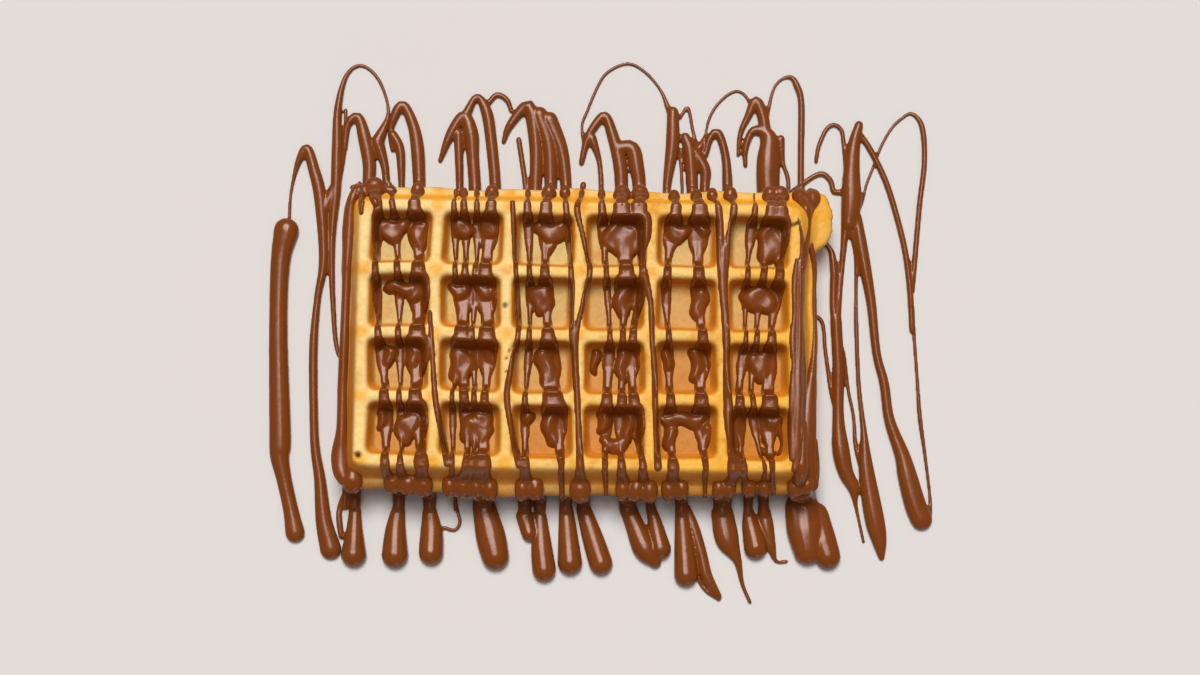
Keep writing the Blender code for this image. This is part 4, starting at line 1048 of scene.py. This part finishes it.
def drip_stations(relief, lip_x, board_x, half, side):
    """Stations of a run that hangs from the lip and meets the board. Side is 1 behind, -1 in front."""
    edge = abs(float(relief.plan(lip_x, side * (relief.half_y + relief.lip_reach))[1]))
    round_size = min(half, TALLEST_HALF)
    meeting = edge + BACK_MEETING if side > 0 else FRONT_MEETING
    points = [(lip_x * (1.0 - share) + board_x * share, side * (edge + past), z, half * swell)
              for share, past, z, swell in DRIP_COURSE]
    points.append((board_x, side * meeting, DRIP_END_HEIGHT, half * DRIP_END_SWELL))
    path = smooth_path(points, 1.2)
    return [(x, y, z, width, min(1.0, round_size / max(width, 0.1))) for x, y, z, width in path]


def surface_stations(relief, points):
    """Stations of a run that lies on the slope and the lip."""
    stations = []
    for x, y, half in smooth_path(points, 1.0):
        flat = min(1.0, 2.1 / half)
        sunk = 3.0 * float(relief.near_rim(x, y)) ** 2
        stations.append((x, y, float(relief.height(x, y)) + 0.25 * half * flat - sunk, half, flat))
    return stations


def back_run(relief, lip_x, lip_half, crest_x, crest_half):
    """Stations of a strand that comes over the back lip: a round blob there, and a neck on the slope."""
    points = []
    for out, swell in BACK_COURSE:
        share = min(1.0, max(0.0, out / 4.0))
        half = crest_half + (lip_half - crest_half) * share
        x, y = relief.plan(crest_x + (lip_x - crest_x) * share, relief.half_y + out)
        height = float(relief.height(crest_x, relief.half_y + min(out, BLOB_LEVEL)))
        height -= BLOB_FALL * max(out - BLOB_LEVEL, 0.0)
        flat = min(0.8, 2.1 / (half * swell))
        rise = 0.3 * half * flat if out > 0.0 else -0.4
        points.append((float(x), float(y), height + rise, max(0.6, half * swell), flat))
    return [tuple(row) for row in smooth_path(points, 1.0)]


def front_finger(relief, crest_x, lip_x, crest_half, lip_half, end):
    """Stations of a finger that runs from the front ridge down the slope and ends on the lip."""
    points = []
    for share in FINGER_SHARES:
        out = FINGER_START + (end - FINGER_START) * share
        blend = float(eased(out / relief.lip_reach * 1.2))
        half = crest_half + (lip_half - crest_half) * blend
        x = crest_x + (lip_x - crest_x) * blend
        sunk = 2.2 * float(relief.near_rim(0.0, relief.half_y + out)) ** 2
        height = float(relief.height(x, -relief.half_y - out)) - sunk
        x, y = relief.plan(x, -relief.half_y - out)
        bulge = 0.15 * half if out > 0.0 else -0.3
        points.append((float(x), float(y), height + bulge, half, 1.0))
    return [tuple(row) for row in smooth_path(points, 1.0)]


def front_mass(relief, chance, left, right, hang):
    """Stations of the lobes of one thick mass on the front lip, and of the edge that it hangs with."""
    count = max(1, round((right - left) / LOBE_SPACE))
    half = (right - left) / count * 0.6
    lobes = []
    for k in range(count):
        x = left + (right - left) * (k + 0.5) / count
        lobe = []
        size = half * (0.92 + 0.2 * chance.random())
        for out, swell, drop in LOBE_COURSE:
            flat = min(0.85, TALLEST_HALF / (size * swell))
            spot_x, spot_y = relief.plan(x, -relief.half_y - out)
            height = UPPER_CREASE + LOBE_RISE - drop + 0.35 * size * swell * flat
            lobe.append((float(spot_x), float(spot_y), height, size * swell, flat))
        lobes.append([tuple(row) for row in smooth_path(lobe, 1.0)])
    edge = []
    thick = 0.9 * hang
    for share in EDGE_SHARES:
        x = left + thick + (right - left - 2.0 * thick) * share
        spot_x, spot_y = relief.plan(x, -relief.half_y - relief.lip_reach)
        dip = math.sin(math.pi * share)
        size = thick * (0.95 + 0.2 * dip)
        edge.append((float(spot_x), float(spot_y) + 0.5, EDGE_HEIGHT - 0.5 * dip, size, 1.0))
    return lobes + [[tuple(row) for row in smooth_path(edge, 1.0)]]


def back_lip_paths(relief):
    """What lies on the slope and the lip at the back and the sides: long coats and round blobs."""
    paths = [round_ends(surface_stations(relief, points)) for points in BORDER_RUNS]
    return paths + [round_ends(back_run(relief, *values[0], *values[1])) for values in CROSSINGS]


def front_lip_paths(relief):
    """What lies on the front slope and lip: fingers, and lobed masses that they run into."""
    chance = random.Random(LIP_SEED)
    paths = []
    for values in CROSSINGS:
        (crest_x, crest_half), (lip_x, lip_half) = values[5:]
        count = max(1, round(lip_half / FINGER_SPACE))
        end = relief.lip_reach if lip_half < THIN_STRAND else relief.lip_reach - SHORT_OF_RIM
        thick = min(FINGER_WIDEST, 0.85 * lip_half if count == 1 else 1.35 * lip_half / count)
        for k in range(count):
            aside = (2.0 * k + 1.0) / count - 1.0
            start_x = crest_x + 0.7 * aside * crest_half
            end_x = lip_x + 0.8 * aside * lip_half
            start_half = min(FINGER_START_HALF, crest_half)
            paths.append(round_ends(front_finger(relief, start_x, end_x, start_half, thick, end)))
    for values in FRONT_MASSES:
        paths += [round_ends(stations) for stations in front_mass(relief, chance, *values)]
    return paths


def strand_tree():
    """Sweeps a round section along every path, flattens it as the path says and levels its underside."""
    inputs = [("Geometry", "NodeSocketGeometry"), ("Sides", "NodeSocketInt"),
              ("Board Gap", "NodeSocketFloat"), ("Chocolate", "NodeSocketMaterial")]
    nodes, given = new_tree("poured_strands", inputs)

    def carried(name, kind="FLOAT"):
        return nodes.add("GeometryNodeInputNamedAttribute", {"data_type": kind}, {"Name": name})

    line = nodes.add("GeometryNodeMeshToCurve", None, {"Mesh": given["Geometry"]})
    line = nodes.add("GeometryNodeStoreNamedAttribute", {"data_type": "FLOAT_VECTOR", "domain": "POINT"},
                     {"Geometry": line, "Name": "middle", "Value": nodes.add("GeometryNodeInputPosition")})
    ring = nodes.add("GeometryNodeCurvePrimitiveCircle", {"mode": "RADIUS"},
                     {"Resolution": given["Sides"], "Radius": 1.0})
    tube = nodes.add("GeometryNodeCurveToMesh", None, {
        "Curve": line, "Profile Curve": ring, "Scale": carried("half_width"), "Fill Caps": True,
    })
    x, y, z = nodes.split(nodes.add("GeometryNodeInputPosition"))
    middle_z = nodes.split(carried("middle", "FLOAT_VECTOR"))[2]
    flattened = greater(middle_z + (z - middle_z) * carried("flatness"), given["Board Gap"])
    spot = nodes.add("ShaderNodeCombineXYZ", None, {0: x, 1: y, 2: flattened})
    tube = nodes.add("GeometryNodeSetPosition", None, {"Geometry": tube, "Position": spot})
    return finish_tree(nodes, tube, given["Chocolate"])


def strands_piece(name, paths, voxel, rounds, context):
    """Sweeps and fuses a group of strands into one piece with melted joints."""
    points, edges, halves, flatness = [], [], [], []
    for stations in paths:
        start = len(points)
        for x, y, z, half, flat in stations:
            points.append((x * MM, y * MM, z * MM))
            halves.append(half * MM)
            flatness.append(flat)
        edges += [(k, k + 1) for k in range(start, len(points) - 1)]
    lines = bpy.data.meshes.new(name)
    lines.from_pydata(points, edges, [])
    for label, values in (("half_width", halves), ("flatness", flatness)):
        lines.attributes.new(label, "FLOAT", "POINT").data.foreach_set("value", values)
    piece = new_object(name, lines)
    chocolate = shared_material("milk_chocolate_gloss", chocolate_material, context)
    run_tree(piece, bpy.data.node_groups.get("poured_strands") or strand_tree(),
             {"Sides": SWEEP_SIDES, "Board Gap": BOARD_GAP * MM, "Chocolate": chocolate})
    fuse = piece.modifiers.new("fuse", "REMESH")
    fuse.mode = "VOXEL"
    fuse.voxel_size = voxel * MM
    fuse.use_smooth_shade = True
    settle = piece.modifiers.new("settle", "SMOOTH")
    settle.factor = 0.5
    settle.iterations = rounds
    apply_modifiers(piece)
    piece.data.materials.clear()
    piece.data.materials.append(chocolate)
    floor_level(piece.data)
    hand_over(piece)
    return piece


def floor_level(mesh):
    """Presses a mesh flat on the board's level."""
    places = np.empty(len(mesh.vertices) * 3)
    mesh.vertices.foreach_get("co", places)
    places[2::3] = np.maximum(places[2::3], BOARD_GAP * MM)
    mesh.vertices.foreach_set("co", places)
    mesh.update()


COLORS = {
    "crest_pale": ("Crest, pale", "Ridge tops that baked least", (0.97, 0.72, 0.30)),
    "crest_golden": ("Crest, golden", "Ridge tops that baked most", (0.93, 0.49, 0.065)),
    "crossing": ("Crossing", "Where two ridges cross", (0.93, 0.43, 0.03)),
    "floor_pale": ("Floor, pale", "Floors of the pockets behind", (0.71, 0.52, 0.20)),
    "floor_golden": ("Floor, golden", "Floors of the pockets in front", (0.60, 0.21, 0.022)),
    "wall": ("Wall", "Walls of the pockets", (0.88, 0.30, 0.008)),
    # The back wall colour is painted shade: a darker copy of the wall colour for the walls that face away
    # from the key light
    "wall_back": ("Back wall", "The pockets' back walls, which baked darkest", (0.54, 0.165, 0.008)),
    # The slope colour is painted shade on the front slope. The back slope colour is painted light on the
    # back slope, which faces the key light, and it also colours the flap
    "slope": ("Slope", "The slope down to the lip", (0.54, 0.18, 0.016)),
    "band": ("Back slope", "The slope down to the lip behind", (0.93, 0.40, 0.012)),
    # The lip colour is partly the seam's own colour and partly painted shade on the front lip
    "lip": ("Lip", "The lip where the baking plates met", (0.38, 0.145, 0.025)),
    "toasted": ("Toasted", "Darker patches of crust", (0.66, 0.24, 0.018)),
    # The colour inside bubbles is painted shade, for the dark inside of a small hollow
    "burnt": ("Burnt", "The inside of bubbles", (0.02, 0.010, 0.006)),
    "chocolate_dark": ("Chocolate, dark", "Chocolate where it is darker", (0.156, 0.034, 0.003)),
    "chocolate_light": ("Chocolate, light", "Chocolate where it is lighter", (0.226, 0.056, 0.005)),
}


def length_property(label, about, value):
    """A length in the panel, from millimetres."""
    return bpy.props.FloatProperty(name=label, description=about, default=value * MM, min=0.0, unit="LENGTH")


class WaffleSizes(bpy.types.PropertyGroup):
    """Sizes of the baked waffle."""

    pitch_x: length_property("Pitch Along", "Distance between ridges along the long side", 27.5)
    pitch_y: length_property("Pitch Across", "Distance between ridges along the short side", 24.5)
    ridge: length_property("Ridge", "Width of a ridge at its top", 4.4)
    thickness: length_property("Thickness", "Height of the waffle", 28.0)
    pocket_depth: length_property("Pocket Depth", "Depth of a pocket", 9.5)
    lip_reach: length_property("Lip Reach", "How far the lip reaches out", 7.2)
    unevenness: length_property("Unevenness", "How much the crust rises and sinks", 0.8)


def color_property(label, about, value):
    """A colour in the panel."""
    return bpy.props.FloatVectorProperty(name=label, description=about, default=value, subtype="COLOR",
                                         min=0.0, max=1.0)


def strength_property(label, about, value):
    """The strength of a light in the panel."""
    return bpy.props.FloatProperty(name=label, description=about, default=value, min=0.0)


class WaffleColors(bpy.types.PropertyGroup):
    """Colours of the crust and the chocolate."""

    __annotations__ = {key: color_property(*values) for key, values in COLORS.items()}


class StudioSettings(bpy.types.PropertyGroup):
    """Light and floor."""

    key_strength: strength_property("Key", "Strength of the large soft light behind", 2.5)
    front_strength: strength_property("Front", "Strength of the low light in front", 0.24)
    top_strength: strength_property("Top", "Strength of the narrow light overhead", 0.34)
    softness: bpy.props.FloatProperty(name="Softness", description="How wide the light looks from below",
                                      default=math.radians(26.0), min=0.0, subtype="ANGLE")
    sky: strength_property("Surround", "Strength of the even light all round", 0.22)
    floor_color: color_property("Floor", "Colour of the floor", (0.74, 0.705, 0.685))


class WAFFLE_OT_bake(bpy.types.Operator):
    """Make the baked waffle"""

    bl_idname = "waffle.bake"
    bl_label = "Baked Waffle"
    bl_options = {"REGISTER", "UNDO"}

    def execute(self, context):
        chosen = context.scene.waffle_sizes
        relief = read_sizes(context)
        crust = shared_material("baked_crust", crust_material, context)
        piece = new_object("baked_waffle", bpy.data.meshes.new("baked_waffle"))
        lines_x = round(2 * (relief.half_x + relief.lip_reach) / GRID_STEP)
        lines_y = round(2 * (relief.half_y + relief.lip_reach) / GRID_STEP)
        run_tree(piece, waffle_tree(crust), {
            "Pitch X": chosen.pitch_x, "Pitch Y": chosen.pitch_y, "Ridge": chosen.ridge,
            "Thickness": chosen.thickness, "Pocket Depth": chosen.pocket_depth,
            "Lip Reach": chosen.lip_reach, "Unevenness": chosen.unevenness,
            "Lines X": lines_x, "Lines Y": lines_y, "Seed": SEED, "Crust": crust,
        })
        hand_over(piece)
        return {"FINISHED"}


class WAFFLE_OT_pour(bpy.types.Operator):
    """Pour the chocolate that lies over the ridges and in the pockets"""

    bl_idname = "waffle.pour"
    bl_label = "Chocolate Over It"
    bl_options = {"REGISTER", "UNDO"}

    def execute(self, context):
        gx, gy, top, proud = poured_field(read_sizes(context))
        corners = [proud[:-1, :-1], proud[1:, :-1], proud[:-1, 1:], proud[1:, 1:]]
        chocolate = shared_material("milk_chocolate_gloss", chocolate_material, context)
        keep = np.maximum.reduce(corners) > SHEET_EDGE
        mesh = field_mesh("poured_chocolate", gx, gy, top, keep, chocolate)
        hand_over(new_object("poured_chocolate", mesh))
        return {"FINISHED"}


class WAFFLE_OT_spill(bpy.types.Operator):
    """Lay the loops, strands and drops that ran out beside the waffle"""

    bl_idname = "waffle.spill"
    bl_label = "Chocolate Beside It"
    bl_options = {"REGISTER", "UNDO"}

    def execute(self, context):
        relief = read_sizes(context)
        back = [round_ends(flat_stations(points), end=False) for points in BACK_LOOPS]
        back += [drip_stations(relief, *values, 1) for values in BACK_DRIPS]
        front = [round_ends(flat_stations(points, DROP_SWELLING)) for points in FRONT_DROPS]
        front += [drip_stations(relief, *values, -1) for values in FRONT_DRIPS]
        left = [round_ends(flat_stations(points)) for points in LEFT_STRANDS]
        right = [round_ends(flat_stations(points)) for points in RIGHT_STRANDS]
        strands_piece("back_coats", back_lip_paths(relief), COAT_VOXEL, COAT_ROUNDS, context)
        strands_piece("front_coats", front_lip_paths(relief), COAT_VOXEL, COAT_ROUNDS, context)
        groups = {"back_loops": back, "front_drops": front, "left_strands": left, "right_strands": right}
        for name, paths in groups.items():
            strands_piece(name, paths, VOXEL, STRAND_ROUNDS, context)
        return {"FINISHED"}


class WAFFLE_OT_stage(bpy.types.Operator):
    """Set up the floor, the light and the camera"""

    bl_idname = "waffle.stage"
    bl_label = "Floor, Light and Camera"
    bl_options = {"REGISTER", "UNDO"}

    def execute(self, context):
        studio = context.scene.waffle_studio
        make_floor(tuple(studio.floor_color) + (1.0,))
        soft_light("key", KEY_TOWARD, studio.softness, studio.key_strength)
        soft_light("top", TOP_TOWARD, TOP_SOFTNESS * studio.softness, studio.top_strength)
        soft_light("front", FRONT_TOWARD, studio.softness, studio.front_strength)
        world = bpy.data.worlds.new("surround")
        world.use_nodes = True
        shade = world.node_tree.nodes["Background"]
        shade.inputs["Color"].default_value = SURROUND_COLOR
        shade.inputs["Strength"].default_value = studio.sky
        context.scene.world = world
        context.scene.view_settings.view_transform = "Standard"
        place_camera(context)
        return {"FINISHED"}


def make_floor(color):
    """A wide pale floor."""
    corners = [(x * FLOOR_HALF, y * FLOOR_HALF, 0) for x, y in ((-1, -1), (1, -1), (1, 1), (-1, 1))]
    mesh = bpy.data.meshes.new("floor")
    mesh.from_pydata(corners, [], [(0, 1, 2, 3)])
    floor = new_object("floor", mesh)
    made = bpy.data.materials.new("pale_floor")
    made.use_nodes = True
    nodes = Nodes(made.node_tree)
    spot = nodes.add("ShaderNodeTexCoord", out=3)
    cloud = nodes.noise(spot, 3.0, 2.0)
    darker = tuple(part * FLOOR_SHADE for part in color[:3]) + (1.0,)
    base = nodes.mix(cloud, darker, color)
    sockets = {"Base Color": base, "Roughness": 0.85, "Specular IOR Level": 0.1}
    shader = nodes.add("ShaderNodeBsdfPrincipled", None, sockets)
    nodes.add("ShaderNodeOutputMaterial", None, {"Surface": shader})
    mesh.materials.append(made)


def soft_light(name, toward, angle, strength):
    """An even light from one direction, with soft shadows."""
    lamp = bpy.data.lights.new(name, "SUN")
    lamp.energy = strength
    lamp.angle = angle
    lamp.color = LIGHT_COLOR
    holder = new_object(name, lamp)
    holder.rotation_euler = Vector(toward).to_track_quat("Z", "Y").to_euler()


def place_camera(context):
    """The photograph's view, from the fit to the crossings of the ridges."""
    tilt = math.radians(CAMERA_TILT)
    roll = math.radians(CAMERA_ROLL)
    right = Vector((1.0, 0.0, 0.0))
    up = Vector((0.0, math.cos(tilt), math.sin(tilt)))
    back = Vector((0.0, -math.sin(tilt), math.cos(tilt)))
    across = right * math.cos(roll) + up * math.sin(roll)
    upward = up * math.cos(roll) - right * math.sin(roll)
    lens = bpy.data.cameras.new("camera")
    lens.sensor_fit = "HORIZONTAL"
    lens.sensor_width = SENSOR_WIDTH
    lens.lens = FOCAL_LENGTH
    lens.shift_x = SHIFT_X
    lens.shift_y = SHIFT_Y
    camera = new_object("camera", lens)
    turn = Matrix((across, upward, back)).transposed().to_4x4()
    camera.matrix_world = Matrix.Translation(CAMERA_PLACE) @ turn
    context.scene.camera = camera


class WAFFLE_PT_panel(bpy.types.Panel):
    """Sizes, colours and steps of the waffle"""

    bl_idname = "WAFFLE_PT_panel"
    bl_label = "Chocolate Waffle"
    bl_space_type = "VIEW_3D"
    bl_region_type = "UI"
    bl_category = "Waffle"

    def draw(self, context):
        for label in ("waffle_sizes", "waffle_colors", "waffle_studio"):
            group = getattr(context.scene, label)
            column = self.layout.column(align=True)
            for key in group.bl_rna.properties.keys():
                if key not in ("rna_type", "name"):
                    column.prop(group, key)
        for step in STEPS:
            self.layout.operator(step.bl_idname)


STEPS = (WAFFLE_OT_bake, WAFFLE_OT_pour, WAFFLE_OT_spill, WAFFLE_OT_stage)
CLASSES = (WaffleSizes, WaffleColors, StudioSettings) + STEPS + (WAFFLE_PT_panel,)


def register():
    """Registers the classes and hangs the panel's values on the scene."""
    for item in CLASSES:
        bpy.utils.register_class(item)
    bpy.types.Scene.waffle_sizes = bpy.props.PointerProperty(type=WaffleSizes)
    bpy.types.Scene.waffle_colors = bpy.props.PointerProperty(type=WaffleColors)
    bpy.types.Scene.waffle_studio = bpy.props.PointerProperty(type=StudioSettings)


def unregister():
    """Takes back what register did."""
    del bpy.types.Scene.waffle_studio
    del bpy.types.Scene.waffle_colors
    del bpy.types.Scene.waffle_sizes
    for item in reversed(CLASSES):
        bpy.utils.unregister_class(item)


def main():
    """Registers the add-on and makes the floor, the light, the camera, the waffle and its chocolate."""
    register()
    bpy.ops.waffle.stage()
    bpy.ops.waffle.bake()
    bpy.ops.waffle.pour()
    bpy.ops.waffle.spill()


if __name__ == "__main__":
    main()
